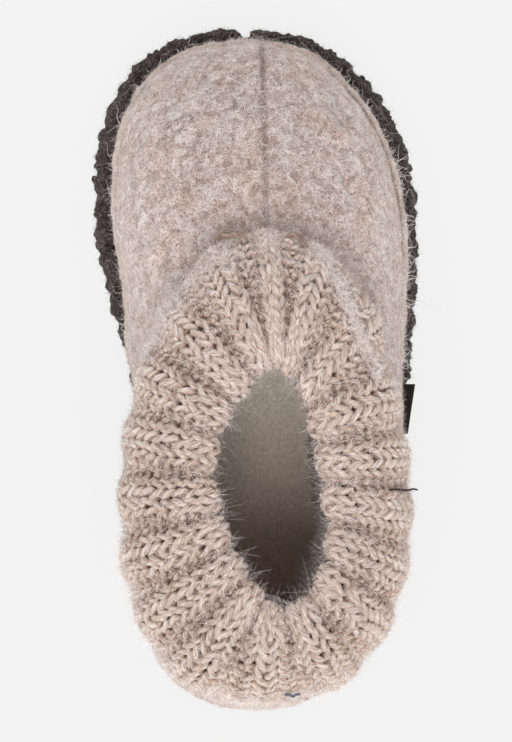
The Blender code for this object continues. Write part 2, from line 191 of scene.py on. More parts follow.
print("a sheet of 3 x 4 points has", len(grid_faces(3, 4, False, False)), "faces")

# %% [markdown]
# ## The shape of the foot
# A shoemaker starts from the outline of the sole and the last. The outline is a smooth closed curve through
# a few named points, each with how far the felt stands back from the sole's edge there. These are the same
# sizes that the solids were made from, read here on a finer grid.

# %% Sole outline
LENGTH, BALL_WIDTH, GAP = 158.3 * MM, 76.3 * MM, 0.3 * MM
SOLE_THICK, TOE_SPRING, SPRING_FROM = 6.5 * MM, 3.5 * MM, 0.71 * LENGTH
# along and across are shares of the length and of the ball's width, and felt_inset is in mm
Outline = namedtuple("Outline", "name along across felt_inset")
OUTLINE = [
    Outline("toe notch", 0.998, -0.013, 2.7),
    Outline("inner toe front", 0.987, -0.223, 3.2),
    Outline("inner toe", 0.942, -0.380, 4.2),
    Outline("inner joint", 0.853, -0.471, 3.9),
    Outline("inner ball", 0.733, -0.499, 4.2),
    Outline("inner waist front", 0.591, -0.446, 3.0),
    Outline("inner waist bend", 0.531, -0.406, 0.4),
    Outline("inner waist", 0.442, -0.369, 0.4),
    Outline("inner heel", 0.208, -0.342, 0.9),
    Outline("inner heel back", 0.047, -0.270, 0.9),
    Outline("heel back", 0.001, -0.036, 0.9),
    Outline("outer heel back", 0.055, 0.266, 0.9),
    Outline("outer heel", 0.202, 0.400, 1.0),
    Outline("outer waist", 0.430, 0.456, 1.3),
    Outline("outer waist front", 0.587, 0.490, 2.2),
    Outline("outer ball", 0.701, 0.497, 2.4),
    Outline("outer joint", 0.838, 0.448, 3.6),
    Outline("outer toe", 0.922, 0.341, 3.6),
    Outline("outer toe front", 0.981, 0.176, 2.8),
]
Columns = namedtuple("Columns", "plan outward felt_inset arc")


def closed_curve(points, per_span=24):
    """A smooth closed curve through the points; the slope at each is blended from both its spans."""
    points = np.asarray(points, float)
    ahead = np.roll(points, -1, axis=0)
    span = np.linalg.norm((ahead - points)[:, :2], axis=1, keepdims=True)
    before = np.roll(span, 1, axis=0)
    slope_out = (ahead - points) / span
    slope = (slope_out * before + np.roll(slope_out, 1, axis=0) * span) / (span + before)
    u = np.linspace(0.0, 1.0, per_span, endpoint=False).reshape(1, -1, 1)
    start, end, width = points[:, None], ahead[:, None], span[:, None]
    leave, arrive = slope[:, None], np.roll(slope, -1, axis=0)[:, None]
    curve = (2 * u**3 - 3 * u**2 + 1) * start + (u**3 - 2 * u**2 + u) * width * leave
    curve = curve + (3 * u**2 - 2 * u**3) * end + (u**3 - u**2) * width * arrive
    return curve.reshape(-1, points.shape[1])


FOOT = closed_curve([(r.across * BALL_WIDTH, (r.along - 0.5) * LENGTH, r.felt_inset * MM) for r in OUTLINE])
FOOT_STEPS = np.linalg.norm((np.roll(FOOT, -1, axis=0) - FOOT)[:, :2], axis=1)
FOOT_ARCS = np.concatenate(([0.0], np.cumsum(FOOT_STEPS)))
FOOT_ROUND = FOOT_ARCS[-1]


def foot_columns(arcs):
    """Points of the outline at these distances from the toe notch, and the outward direction there."""
    turn = unit((np.roll(FOOT, -1, axis=0) - np.roll(FOOT, 1, axis=0))[:, :2])
    table = np.hstack((FOOT, np.stack((turn[:, 1], -turn[:, 0]), axis=1)))
    table = np.concatenate((table, table[:1]))
    read = np.stack([np.interp(arcs % FOOT_ROUND, FOOT_ARCS, column) for column in table.T], axis=1)
    return Columns(read[:, :2], unit(read[:, 3:]), read[:, 2:3], arcs)


def toe_lift(y):
    """Toe spring: the sole curls off the floor ahead of the ball."""
    return TOE_SPRING * np.clip((y + LENGTH / 2 - SPRING_FROM) / (LENGTH - SPRING_FROM), 0.0, None) ** 2


def ring(plan, height):
    """Points of a plan view lifted to a height."""
    return np.hstack((plan, np.broadcast_to(height, (len(plan), 1))))


def smooth_rows(rows, count):
    """A smooth run of count rows through the given rows."""
    rows = np.asarray(rows, float)
    slope = np.gradient(rows, axis=0)
    place = np.linspace(0.0, len(rows) - 1.0, count)
    low = np.minimum(place.astype(int), len(rows) - 2)
    u = (place - low).reshape((-1,) + (1,) * (rows.ndim - 1))
    curve = (2 * u**3 - 3 * u**2 + 1) * rows[low] + (u**3 - 2 * u**2 + u) * slope[low]
    return curve + (3 * u**2 - 2 * u**3) * rows[low + 1] + (u**3 - u**2) * slope[low + 1]


print(f"way round the sole: {FOOT_ROUND / MM:.0f} mm")

# %% [markdown]
# The upper's wall rises from the outline to an egg-shaped collar, and the cuff goes on from there to the
# rim of the opening. The wall could be sculpted, but three profiles (toe, side and heel) blended round the
# ankle give every point between them, and a finer grid costs nothing.

# %% Collar, rim and the wall of the upper
WALL, SEAM_FROM_NOTCH = 3.0 * MM, 2.7 * MM
COLLAR_MIDDLE, COLLAR_HALF_WIDTH = np.array((2.4, -27.0)) * MM, 29.0 * MM
COLLAR_FRONT, COLLAR_BACK = 55.0 * MM, 44.0 * MM
COLLAR_FRONT_ROUNDNESS, COLLAR_BACK_ROUNDNESS = 2.1, 2.5
# sizes in these rows are in mm, but run is a share of the way from the collar out to the lip
Rim = namedtuple("Rim", "name across along")
RIM = [
    Rim("front", 4.5, 2.8),
    Rim("inner front", -5.4, -5.4),
    Rim("inner side front", -10.4, -15.3),
    Rim("inner side", -11.4, -24.2),
    Rim("inner side back", -8.8, -35.8),
    Rim("inner back", -3.8, -46.7),
    Rim("back", 6.0, -55.1),
    Rim("outer back", 14.6, -48.5),
    Rim("outer side back", 17.9, -39.1),
    Rim("outer side", 16.9, -28.2),
    Rim("outer side front", 14.9, -16.5),
    Rim("outer front", 12.0, -5.5),
]
LipEdge = namedtuple("LipEdge", "name inset height")
LIP_EDGE = [
    LipEdge("foot", 0.2, 0.0),
    LipEdge("side", 0.0, 1.1),
    LipEdge("top", 0.8, 2.1),
    LipEdge("stitch groove", 1.9, 1.4),
    LipEdge("wall", 2.1, 2.6),
]
Wall = namedtuple("Wall", "name rise belly run shoulder drop collar_height")
TOE = Wall("toe", 27.0, 2.6, 0.62, 0.0, 9.5, 52.0)
SIDE = Wall("side", 14.0, 3.2, 0.30, 3.0, 12.0, 46.0)
HEEL = Wall("heel", 14.0, 6.2, 0.50, 5.4, 8.0, 44.0)


def around(angle, front, side, back):
    """A size that changes round the ankle: angle 0 is the front and half a turn the back."""
    ahead = np.cos(angle)
    return side + ahead**2 * (np.where(ahead > 0, front, back) - side)


def egg(angle, roundness):
    """A circle of radius 1, or a squarer curve where roundness is above 2."""
    across, along = np.sin(angle), np.cos(angle)
    power = 2 / roundness
    return np.sign(across) * np.abs(across) ** power, np.sign(along) * np.abs(along) ** power


def collar_point(angle):
    """Points of the collar, where the upper ends and the cuff is sewn on."""
    front = np.cos(angle) > 0
    across, along = egg(angle, np.where(front, COLLAR_FRONT_ROUNDNESS, COLLAR_BACK_ROUNDNESS))
    reach = np.where(front, COLLAR_FRONT, COLLAR_BACK)
    plan = COLLAR_MIDDLE + np.stack((COLLAR_HALF_WIDTH * across, reach * along), axis=1)
    height = around(angle, TOE.collar_height, SIDE.collar_height, HEEL.collar_height) * MM
    return ring(plan, height[:, None])


def places_along(curve, back, shares):
    """Indices into a curve from the front to the front; its back point is at half the way round."""
    arcs = np.concatenate(([0.0], np.cumsum(np.linalg.norm(np.diff(curve[:, :2], axis=0), axis=1))))
    wanted = np.interp(shares, (0.0, 0.5, 1.0), (0.0, arcs[back], arcs[-1]))
    return np.interp(wanted, arcs, np.arange(len(curve)))


def collar_angles(shares):
    """Angles at these shares of the way round the collar, from the front over the inner side."""
    fine = -np.linspace(0.0, 2 * math.pi, 2001)
    return fine[1] * places_along(collar_point(fine), len(fine) // 2, shares)


def rim_points(shares, per_span=24):
    """Points of the opening's rim at these shares of the way round."""
    curve = closed_curve([(row.across * MM, row.along * MM) for row in RIM], per_span)
    curve = np.concatenate((curve, curve[:1]))
    places = places_along(curve, [row.name for row in RIM].index("back") * per_span, shares)
    return np.stack([np.interp(places, np.arange(len(curve)), column) for column in curve.T], axis=1)


def facing(rows):
    """Outward directions of a wall given as rows of points from the bottom up."""
    along = np.roll(rows, -1, axis=1) - np.roll(rows, 1, axis=1)
    return unit(np.cross(along, np.gradient(rows, axis=0)))


def upper_wall(arcs, row_count):
    """Rows of the upper's outer face from the lip to the collar, outward directions, columns and angles."""
    foot = foot_columns(arcs - SEAM_FROM_NOTCH)
    plan = foot.plan - (foot.felt_inset + LIP_EDGE[-1].inset * MM) * foot.outward
    base = ring(plan, SOLE_THICK + GAP + LIP_EDGE[-1].height * MM + toe_lift(plan[:, 1:]))
    from_middle = plan - COLLAR_MIDDLE
    reach = np.where(from_middle[:, 1] > 0, COLLAR_FRONT, COLLAR_BACK)
    angle = np.arctan2(from_middle[:, 0] / COLLAR_HALF_WIDTH, from_middle[:, 1] / reach)
    angle = angle - angle[0] * np.cos(angle / 2) ** 2
    collar = collar_point(angle)
    rise, belly, run, shoulder, drop = (
        around(angle, *(getattr(part, key) for part in (TOE, SIDE, HEEL)))[:, None]
        for key in ("rise", "belly", "run", "shoulder", "drop")
    )
    outward, up = ring(foot.outward, 0.0), np.array((0.0, 0.0, 1.0))
    low = base + belly * MM * outward + rise * MM * up
    high = collar + run * (base - collar) + shoulder * MM * outward
    high[:, 2:] = collar[:, 2:] - drop * MM
    t = np.linspace(0.0, 1.0, row_count).reshape(-1, 1, 1)
    rows = (1 - t) ** 3 * base + 3 * t * (1 - t) ** 2 * low + 3 * t**2 * (1 - t) * high + t**3 * collar
    return rows, facing(rows), foot, angle


print("collar width", 2 * COLLAR_HALF_WIDTH / MM, "mm")

# %% [markdown]
# ## Camera, floor and light
# The slipper is seen from straight above, from about 0.9 m, as on a copy stand. The lens follows from how
# many pixels a metre of the sole's edge takes up.

# %% Camera
IMAGE_HEIGHT = 742  # the picture is 512 x 742, and the lens is fitted to its long side
CAMERA_HEIGHT = 0.900
PIXELS_PER_METRE, EDGE_HEIGHT = 4260.0, 0.006  # the scale at the sole's edge, 6 mm above the floor
SENSOR = 36.0
camera_data = bpy.data.cameras.new("copy_stand_camera")
camera_data.sensor_width = SENSOR
camera_data.lens = SENSOR * PIXELS_PER_METRE * (CAMERA_HEIGHT - EDGE_HEIGHT) / IMAGE_HEIGHT
camera = bpy.data.objects.new("copy_stand_camera", camera_data)
camera.location = (0.0, -1.15 * MM, CAMERA_HEIGHT)
bpy.context.scene.collection.objects.link(camera)
bpy.context.scene.camera = camera
bpy.context.scene.view_settings.view_transform = "Standard"
print(f"lens {camera_data.lens:.0f} mm")

# %% [markdown]
# The paper under the slipper is lit from below as well, as on a light table, so hardly a shadow shows. A
# wide soft box hangs overhead, and a second one stands behind the heel: it reaches through the opening to
# the front of the footbed and leaves the heel dark.

# %% Floor and lights
paper, shader = new_cloth("light_table_paper", Roughness=0.9, Emission_Strength=0.832)
shader.inputs["Base Color"].default_value = linear("#303030")
shader.inputs["Emission Color"].default_value = linear("#ffffff")
bpy.ops.mesh.primitive_plane_add(size=6.0, location=(0.0, 0.0, -0.0002))
floor = bpy.context.object
floor.name = "floor"
floor.data.materials.append(paper)

world = bpy.data.worlds.new("studio")
world.use_nodes = True
world.node_tree.nodes["Background"].inputs["Color"].default_value = linear("#f5f7fa")
world.node_tree.nodes["Background"].inputs["Strength"].default_value = 0.75
bpy.context.scene.world = world

Lamp = namedtuple("Lamp", "name place target size watts colour")
LAMPS = [
    Lamp("overhead_soft_box", (-0.05, 0.02, 1.30), (0.0, 0.0, 0.03), 1.1, 4.0, "#fdfbff"),
    Lamp("heel_soft_box", (-0.03, -0.40, 1.12), (0.0, 0.0, 0.03), 0.45, 9.0, "#fdfbff"),
]
for lamp in LAMPS:
    light = bpy.data.lights.new(lamp.name, "AREA")
    light.size = lamp.size
    light.energy = lamp.watts
    light.color = linear(lamp.colour)[:3]
    holder = bpy.data.objects.new(lamp.name, light)
    holder.location = lamp.place
    holder.rotation_euler = (Vector(lamp.target) - Vector(lamp.place)).to_track_quat("-Z", "Y").to_euler()
    bpy.context.scene.collection.objects.link(holder)
print("lamps:", [lamp.name for lamp in LAMPS])

# %% [markdown]
# ## Wools and felts
# Wool has no gloss to speak of: what it has is depth. Light is caught by loose fibres at the surface, so
# steep sides go pale. Sheen gives a little of that, and a painted sheen that the mesh marks there gives the
# rest. Boiled wool is knitted, then shrunk in hot water until its loops close into pebbles about 2 mm wide.
# Noise at that size, with wider patches of tone, finer fibres and dark flecks, draws them. More marks dye
# the folded lip and the seam, and lay painted shade into the creases and the stitched groove.

# %% Boiled wool
WOOL = {"Roughness": 0.95, "IOR": 1.54, "Specular_IOR_Level": 0.12, "Sheen_Roughness": 0.5}
# a wool fibre is about 0.03 mm thick, so the fibre noise is coarser than that to show at this distance
PEBBLE, PATCH, FIBRE, FLECK = 2.4 * MM, 7.0 * MM, 0.32 * MM, 0.6 * MM
boiled_wool, shader = new_cloth("boiled_wool", Sheen_Weight=0.3, Sheen_Tint=linear("#f6f1ec"), **WOOL)
where = {"Vector": add_node(boiled_wool, "ShaderNodeTexCoord").outputs["Object"]}
pebbles, patches, fibres, flecks = (
    add_node(
        boiled_wool, "ShaderNodeTexNoise",
        {"Scale": 1 / size, "Detail": detail, "Distortion": twist}, where,
    )
    for size, detail, twist in ((PEBBLE, 6.0, 0.8), (PATCH, 4.0, 0.5), (FIBRE, 3.0, 1.2), (FLECK, 2.0, 1.5))
)
felt_layers = [
    (pebbles, [(0.32, "#9e918a"), (0.48, "#bcb1ab"), (0.64, "#d2ccc8")], 1.0),
    (patches, [(0.38, "#f4e9e1"), (0.50, "#f7f1ed"), (0.62, "#f5f0ee")], 1.0),
    (fibres, [(0.34, "#84726a"), (0.56, "#ffffff")], 0.8),
    (flecks, [(0.56, "#ffffff"), (0.68, "#8f766a")], 0.8),
]
colour = None
for noise, stops, amount in felt_layers:
    ramp = add_node(boiled_wool, "ShaderNodeValToRGB", links={"Fac": noise.outputs["Fac"]}, stops=stops)
    layer = ramp.outputs["Color"]
    if colour:
        mix = add_node(
            boiled_wool, "ShaderNodeMixRGB", {"Fac": amount}, {"Color1": colour, "Color2": layer},
            blend_type="MULTIPLY",
        )
        layer = mix.outputs["Color"]
    colour = layer
Mark = namedtuple("Mark", "name dye blend")
# the first mark is a painted sheen and painted light, the second and fourth are painted shade; the lip and
# seam marks are dyes
MARKS = [
    Mark("painted_sheen", "#f6f6f6", "OVERLAY"),
    Mark("crease", "#8f725f", "MIX"),
    Mark("lip", "#ecdac8", "MIX"),
    Mark("groove", "#8a664c", "MIX"),
    Mark("seam", "#7a6558", "MIX"),
]
for mark in MARKS:
    amount = add_node(boiled_wool, "ShaderNodeAttribute", attribute_name=mark.name).outputs["Fac"]
    mix = add_node(
        boiled_wool, "ShaderNodeMixRGB", {"Color2": linear(mark.dye)}, {"Fac": amount, "Color1": colour},
        blend_type=mark.blend,
    )
    colour = mix.outputs["Color"]
boiled_wool.node_tree.links.new(colour, shader.inputs["Base Color"])
fine = add_node(
    boiled_wool, "ShaderNodeBump", {"Strength": 0.7, "Distance": 0.3 * MM}, {"Height": fibres.outputs["Fac"]}
)
coarse = add_node(
    boiled_wool, "ShaderNodeBump", {"Strength": 0.9, "Distance": 0.6 * MM},
    {"Height": pebbles.outputs["Fac"], "Normal": fine.outputs["Normal"]},
)
boiled_wool.node_tree.links.new(coarse.outputs["Normal"], shader.inputs["Normal"])
print("boiled wool pebbles", PEBBLE / MM, "mm")

# %% [markdown]
# The other wools differ in how they are spun and dyed, so one recipe makes them all: a noise for the
# fibres, read in space or along a strand, and colours for what lies low or high in it. Two more layers can be
# laid over that: painted shade for what lies deep, and a pale painted sheen for the bloom of fine fibres.


# %% A recipe for dyed wool
def dye_wool(name, sheen, size, stops, bump, place="object", tone=None, melange=(), hollow=(), painted_haze=None):
    """A wool whose colour wanders over this size, in space or along its strands, or follows a tone per fibre.

    Melange adds a second dye in longer stretches, as in wool blended before spinning. Hollow is painted
    shade, darkening what lies deep. Painted haze is a painted sheen, the pale bloom of fine fibres.
    """
    cloth, shader = new_cloth(name, Sheen_Weight=sheen, Sheen_Tint=linear("#f6f1ec"), **WOOL)
    where = add_node(cloth, "ShaderNodeTexCoord").outputs["Object"]
    if place == "strand":
        where = add_node(cloth, "ShaderNodeAttribute", attribute_name="fibres").outputs["Vector"]
    grain = {"Scale": 1 / size, "Detail": 3.0, "Distortion": 0.6}
    cloud = add_node(cloth, "ShaderNodeTexNoise", grain, {"Vector": where})
    source = cloud.outputs["Fac"]
    if tone:
        source = add_node(cloth, "ShaderNodeAttribute", attribute_name=tone).outputs["Fac"]
    colour = add_node(cloth, "ShaderNodeValToRGB", links={"Fac": source}, stops=stops).outputs["Color"]
    layers = []
    if melange:
        grain = {"Scale": 0.4 / size, "Detail": 1.0}
        stretch = add_node(cloth, "ShaderNodeTexNoise", grain, {"Vector": where})
        layers.append((stretch.outputs["Fac"], melange))
    # painted shade, read from the proud mark
    if hollow:
        layers.append((add_node(cloth, "ShaderNodeAttribute", attribute_name="proud").outputs["Fac"], hollow))
    for source, dyes in layers:
        layer = add_node(cloth, "ShaderNodeValToRGB", links={"Fac": source}, stops=dyes).outputs["Color"]
        mix = add_node(
            cloth, "ShaderNodeMixRGB", {"Fac": 1.0}, {"Color1": colour, "Color2": layer},
            blend_type="MULTIPLY",
        )
        colour = mix.outputs["Color"]
    # painted sheen, read from its mark
    if painted_haze:
        amount = add_node(cloth, "ShaderNodeAttribute", attribute_name="painted_haze").outputs["Fac"]
        mix = add_node(
            cloth, "ShaderNodeMixRGB", {"Color2": linear(painted_haze)}, {"Fac": amount, "Color1": colour},
            blend_type="OVERLAY",
        )
        colour = mix.outputs["Color"]
    cloth.node_tree.links.new(colour, shader.inputs["Base Color"])
    rough = add_node(
        cloth, "ShaderNodeBump", {"Strength": 0.8, "Distance": bump * MM}, {"Height": cloud.outputs["Fac"]}
    )
    cloth.node_tree.links.new(rough.outputs["Normal"], shader.inputs["Normal"])
    return cloth


print("a wool's gloss:", WOOL["Specular_IOR_Level"])

# %% [markdown]
# Knitting wool is two strands spun together, with streaks along the strand, and painted shade where loops
# lie deep. The sole is a dark curly fleece, almost black, whose nubs catch a little grey light, with painted
# shade in its creases. The footbed is smooth pressed felt, browner at the heel, where the wool round it
# colours the little light that comes in. Loose fibres get a number each for their tone.

# %% Yarn, fleece, footbed felt, loose fibres, ribbon and thread
# spun wool: pale streaks on the strand, painted brown shade in the gaps between the loops, and a pale painted
# sheen on sides that turn from the light
knitting_wool = dye_wool(
    "knitting_wool", 0.2, 0.24 * MM,
    [(0.32, "#8c7a70"), (0.46, "#b6a79d"), (0.58, "#cbbfb6"), (0.70, "#dfd5cd")], 0.30, "strand",
    melange=[(0.38, "#f6ece4"), (0.50, "#ffffff"), (0.64, "#f3e4d8")],
    hollow=[(0.22, "#6c594e"), (0.50, "#ab988d"), (0.72, "#e4dbd4"), (0.88, "#ffffff")],
    painted_haze="#f4f6f8",
)
# thick sewing wool: matt brown, darker than the knit that it lies on
seam_wool = dye_wool(
    "seam_wool", 0.1, 0.30 * MM, [(0.34, "#6b574c"), (0.50, "#8d796c"), (0.66, "#b09d90")], 0.3, "strand"
)
# the far side of the knit, seen only between loops and inside the opening: its dark colour is painted shade
cuff_backing = dye_wool("cuff_backing", 0.1, 1.0 * MM, [(0.3, "#45372f"), (0.7, "#6d5a4f")], 0.3)
# the cuff's inner layer is the same yarn, dyed dark as painted shade
cuff_lining = dye_wool("cuff_lining", 0.2, 1.0 * MM, [(0.3, "#54473f"), (0.7, "#7a6b62")], 0.3)
# felted fleece: knobbly and grey on the curls, with painted shade that makes the creases almost black
curly_dark_wool = dye_wool(
    "curly_dark_wool", 0.15, 0.4 * MM, [(0.34, "#191413"), (0.50, "#3f3634"), (0.66, "#7d716a")], 0.6,
    hollow=[(0.05, "#4a4644"), (0.35, "#b5b0ad"), (0.75, "#ffffff")],
)
# needled felt: flat, grey and even, with a faint grain
pressed_grey_felt = dye_wool(
    "pressed_grey_felt", 0.1, 0.8 * MM, [(0.30, "#b7ad9c"), (0.50, "#c8beac"), (0.72, "#d6ccbb")], 0.15,
    hollow=[(0.0, "#ffdcd9"), (1.0, "#ffffff")],
)
# single hairs: each one has its own tone, and the palest ones glint
loose_wool = dye_wool(
    "loose_wool", 0.0, 5.0 * MM,
    [(0.0, "#866f61"), (0.30, "#b9a69b"), (0.60, "#dfd1c8"), (1.0, "#fbf5f1")], 0.0, tone="tone",
)
# dark hairs: the sole's own dark fleece, and on the lining pale hairs dyed dark as painted shade
dark_fluff = dye_wool(
    "dark_fluff", 0.0, 5.0 * MM, [(0.0, "#3a3432"), (0.6, "#645b57"), (1.0, "#9c938d")], 0.0, tone="tone"
)
# woven ribbon and cotton thread: fine and plain, with a hint of lustre
satin_ribbon = dye_wool("satin_ribbon", 0.05, 0.5 * MM, [(0.3, "#1c1615"), (0.7, "#2c2422")], 0.1)
sewing_thread = dye_wool("sewing_thread", 0.1, 0.3 * MM, [(0.3, "#8f7865"), (0.7, "#b39d88")], 0.1, "strand")
lint = dye_wool("lint", 0.1, 0.3 * MM, [(0.3, "#4a4a5c"), (0.7, "#6d6e80")], 0.1, "strand")
print("cloths:", [cloth.name for cloth in bpy.data.materials])

# %% [markdown]
# ## The sole
# The sole's edge is curly fleece felted into rolls about 6 mm long, with nubs of 1 to 3 mm on them and
# creases between the nubs darkened with painted shade, and its two ends meet in a notch at the toe. A bump
# pattern would leave the outline smooth, so a fine sheet is moved in and out. Folding the noise at zero gives
# round nubs with sharp creases.

# %% Felted sole slab
# inset is a share of the rolled edge's width, height is in mm and knobs a share of their full height
SoleEdge = namedtuple("SoleEdge", "name inset height knobs")
SOLE_EDGE = [
    SoleEdge("tread edge", 0.60, 0.0, 0.0),
    SoleEdge("lower roll", 0.18, 1.1, 0.7),
    SoleEdge("side", 0.00, 3.3, 1.0),
    SoleEdge("upper roll", 0.16, 5.7, 0.8),
    SoleEdge("roll top", 0.48, 6.9, 0.4),
    SoleEdge("seat", 0.88, 6.5, 0.0),
]
KNOB_PITCH, KNOB_HEIGHT, LOOP_ROOM = 6.0 * MM, 0.25 * MM, 0.25 * MM
ROLL_INSET, ROLL_BARE_FROM, ROLL_BARE_TO = 2.4 * MM, 1.0 * MM, 3.0 * MM
NOTCH_DEPTH, NOTCH_WIDTH, NOTCH_INWARD = 2.1 * MM, 3.8 * MM, 1.4 * MM
NUB, SMALL_NUB, CURL = 2.6 * MM, 1.5 * MM, 0.9 * MM
SOLE_COLUMNS, SOLE_ROWS = 920, 28
foot = foot_columns(np.arange(SOLE_COLUMNS) * FOOT_ROUND / SOLE_COLUMNS)
turn = 2 * math.pi * foot.arc / FOOT_ROUND
knobs = round(FOOT_ROUND / KNOB_PITCH)
wave = np.cos(knobs * turn) + 0.5 * np.cos(round(0.61 * knobs) * turn + 1.0)
from_toe = np.abs((foot.arc - NOTCH_INWARD + FOOT_ROUND / 2) % FOOT_ROUND - FOOT_ROUND / 2)
notch = NOTCH_DEPTH * np.exp(-((2 * from_toe / NOTCH_WIDTH) ** 2))
bare = np.clip((foot.felt_inset - ROLL_BARE_FROM) / (ROLL_BARE_TO - ROLL_BARE_FROM), 0.0, 1.0)
roll = np.maximum(foot.felt_inset, ROLL_INSET)
sole_rows = []
for inset, height, share in smooth_rows([row[1:] for row in SOLE_EDGE], SOLE_ROWS):
    bulge = share * (KNOB_HEIGHT * wave - notch)
    plan = foot.plan - (inset * roll + LOOP_ROOM - bulge[:, None]) * foot.outward
    above_seat = max(height * MM - SOLE_THICK, 0.0)
    sole_rows.append(ring(plan, max(height, 0.0) * MM - (1 - bare) * above_seat + toe_lift(plan[:, 1:])))
sole_rows = np.array(sole_rows)
sole_out = facing(sole_rows)
rough = np.sin(np.linspace(0.0, math.pi, SOLE_ROWS))[:, None] ** 0.5
nubs = 1.2 * np.abs(lumps(sole_rows, NUB)) + 0.7 * np.abs(lumps(sole_rows, SMALL_NUB, 5.5))
curl = nubs - 0.55 + 0.45 * lumps(sole_rows, CURL, 2.9)
rough = rough * curl * MM
sole_rows = sole_rows + rough[..., None] * sole_out
sole_rows[..., 2] = np.maximum(sole_rows[..., 2], 0.0)


def strips_across(first, count):
    """Faces from one side of a ring to the other, starting at the toe."""
    ladders = ([i, i + 1, count - i - 1, (count - i) % count] for i in range(count // 2))
    return [[first + corner for corner in dict.fromkeys(ladder)] for ladder in ladders]


faces = grid_faces(SOLE_ROWS, SOLE_COLUMNS, False, True).tolist()
faces += [face[::-1] for face in strips_across(0, SOLE_COLUMNS)]
faces += strips_across((SOLE_ROWS - 1) * SOLE_COLUMNS, SOLE_COLUMNS)
# the nubs' height is marked so that the fleece gets painted shade in the creases
make_piece(
    "felted_sole", sole_rows, faces, curly_dark_wool, "outsole",
    {"proud": np.clip(nubs / 1.1, 0.0, 1.0)},
)

# %% [markdown]
# A displaced sheet alone looks a little like lava, so some real loops of yarn are scattered over the rolled
# edge: each is a small ring, half sunk in the felt, tipped a different way.

# %% Curly loops on the sole's edge
LOOPS, LOOP_POINTS, LOOP_SIDES = 300, 7, 5
rng = np.random.default_rng(21)
row = (SOLE_ROWS * rng.beta(2.2, 1.5, LOOPS) * 0.92).astype(int)
column = rng.integers(0, SOLE_COLUMNS, LOOPS)
seat, out = sole_rows[row, column], sole_out[row, column]
along = ring(np.stack((-foot.outward[column, 1], foot.outward[column, 0]), axis=1), 0.0)
beside = np.cross(out, along)
twist = rng.uniform(0, math.pi, LOOPS)[:, None]
first_axis = np.cos(twist) * along + np.sin(twist) * beside
second_axis = unit(0.75 * out + 0.65 * (np.cos(twist) * beside - np.sin(twist) * along))
reach = rng.uniform(0.35, 0.60, LOOPS)[:, None, None] * MM
turn = 2 * math.pi * np.arange(LOOP_POINTS) / LOOP_POINTS
wobble = 1 + rng.uniform(-0.25, 0.25, (LOOPS, LOOP_POINTS, 1))
paths = (seat + rng.uniform(-0.60, -0.20, (LOOPS, 1)) * MM * out)[:, None] + reach * wobble * (
    np.cos(turn)[:, None] * first_axis[:, None] + np.sin(turn)[:, None] * second_axis[:, None]
)
upright = np.broadcast_to(np.cross(first_axis, second_axis)[:, None], paths.shape)
points, faces, fibres = tubes(paths, upright, rng.uniform(0.28, 0.42, (LOOPS, 1)) * MM, LOOP_SIDES, True)
points[..., 2] = np.maximum(points[..., 2], 0.0)
fibres["proud"] = np.full(points.shape[:-1], 0.6)
make_piece("curly_sole_edge", points, faces, curly_dark_wool, marks=fibres)

# %% [markdown]
# ## The footbed
# A flat slab of pressed grey felt lies loose inside. Only its middle shows through the opening, so one slab
# with a softly rounded edge is enough. A mark says how much light each place gets, from the heel forward.

# %% Footbed
BED_COLUMNS = 240
BED_EDGE = ((0.0, 0.0), (-0.02, 1.2), (0.1, 2.3), (0.5, 2.8), (1.2, 3.0))  # mm inward and mm up
bed = foot_columns(np.arange(BED_COLUMNS) * FOOT_ROUND / BED_COLUMNS)
bed_rows = []
for inward, height in BED_EDGE:
    plan = bed.plan - (bed.felt_inset + LIP_EDGE[-1].inset * MM + WALL + GAP + inward * MM) * bed.outward
    bed_rows.append(ring(plan, SOLE_THICK + GAP + height * MM + toe_lift(plan[:, 1:])))
bed_rows = np.array(bed_rows)
faces = grid_faces(len(bed_rows), BED_COLUMNS, False, True).tolist()
faces += [face[::-1] for face in strips_across(0, BED_COLUMNS)]
faces += strips_across((len(bed_rows) - 1) * BED_COLUMNS, BED_COLUMNS)
lit = np.interp(bed_rows[..., 1] / MM, (-50, -30, 0), (0.0, 0.6, 1.0))
make_piece("felt_footbed", bed_rows, faces, pressed_grey_felt, "insole", {"proud": lit})

# %% [markdown]
# ## The upper
# The upper is one thick felt wall, with a seam that runs from the toe up to the cuff. The wall is a fine
# grid, closer near the seam, and its points are moved in and out a little: felted curls a few millimetres
# wide where it faces up, broad hollows everywhere, a groove at the seam and a shallow tuck above the sole
# at the toe.

# %% Felt wall and seam
UPPER_ROWS, INNER_ROWS, UPPER_COLUMNS = 130, 10, 430
LOCK, SMALL_LOCK = 4.4 * MM, 2.9 * MM
SEAM_WIDTH, RIDGE_PLACE, RIDGE_WIDTH = 0.65 * MM, 2.2 * MM, 1.2 * MM
SEAM_DEPTH, RIDGE_HEIGHT, TUCK_DEPTH = 0.8, 0.3, 0.9  # mm
near_seam = np.array((0.3, 0.6, 0.9, 1.3, 1.8, 2.4)) * MM
even = np.arange(UPPER_COLUMNS) * FOOT_ROUND / UPPER_COLUMNS
arcs = np.sort(np.concatenate((even, near_seam, FOOT_ROUND - near_seam)))
wall, wall_out, foot, wall_angle = upper_wall(arcs, UPPER_ROWS)
inner = wall[:: -(UPPER_ROWS // INNER_ROWS)] - WALL * wall_out[:: -(UPPER_ROWS // INNER_ROWS)]
from_seam = np.linalg.norm(wall - wall[:, :1], axis=2)
seam = np.exp(-((from_seam / SEAM_WIDTH) ** 2))
ridge = np.exp(-(((from_seam - RIDGE_PLACE) / RIDGE_WIDTH) ** 2))
height = np.linspace(0.0, 1.0, UPPER_ROWS)[:, None]
locks = np.abs(lumps(wall, LOCK, 3.3))
small_locks = np.abs(lumps(wall, SMALL_LOCK, 6.1))
facing_up = np.clip((wall_out[..., 2] - 0.25) / 0.5, 0.0, 1.0)
uneven = (0.25 + 0.75 * facing_up) * (0.6 * (locks - 0.25) + 0.5 * (small_locks - 0.25))
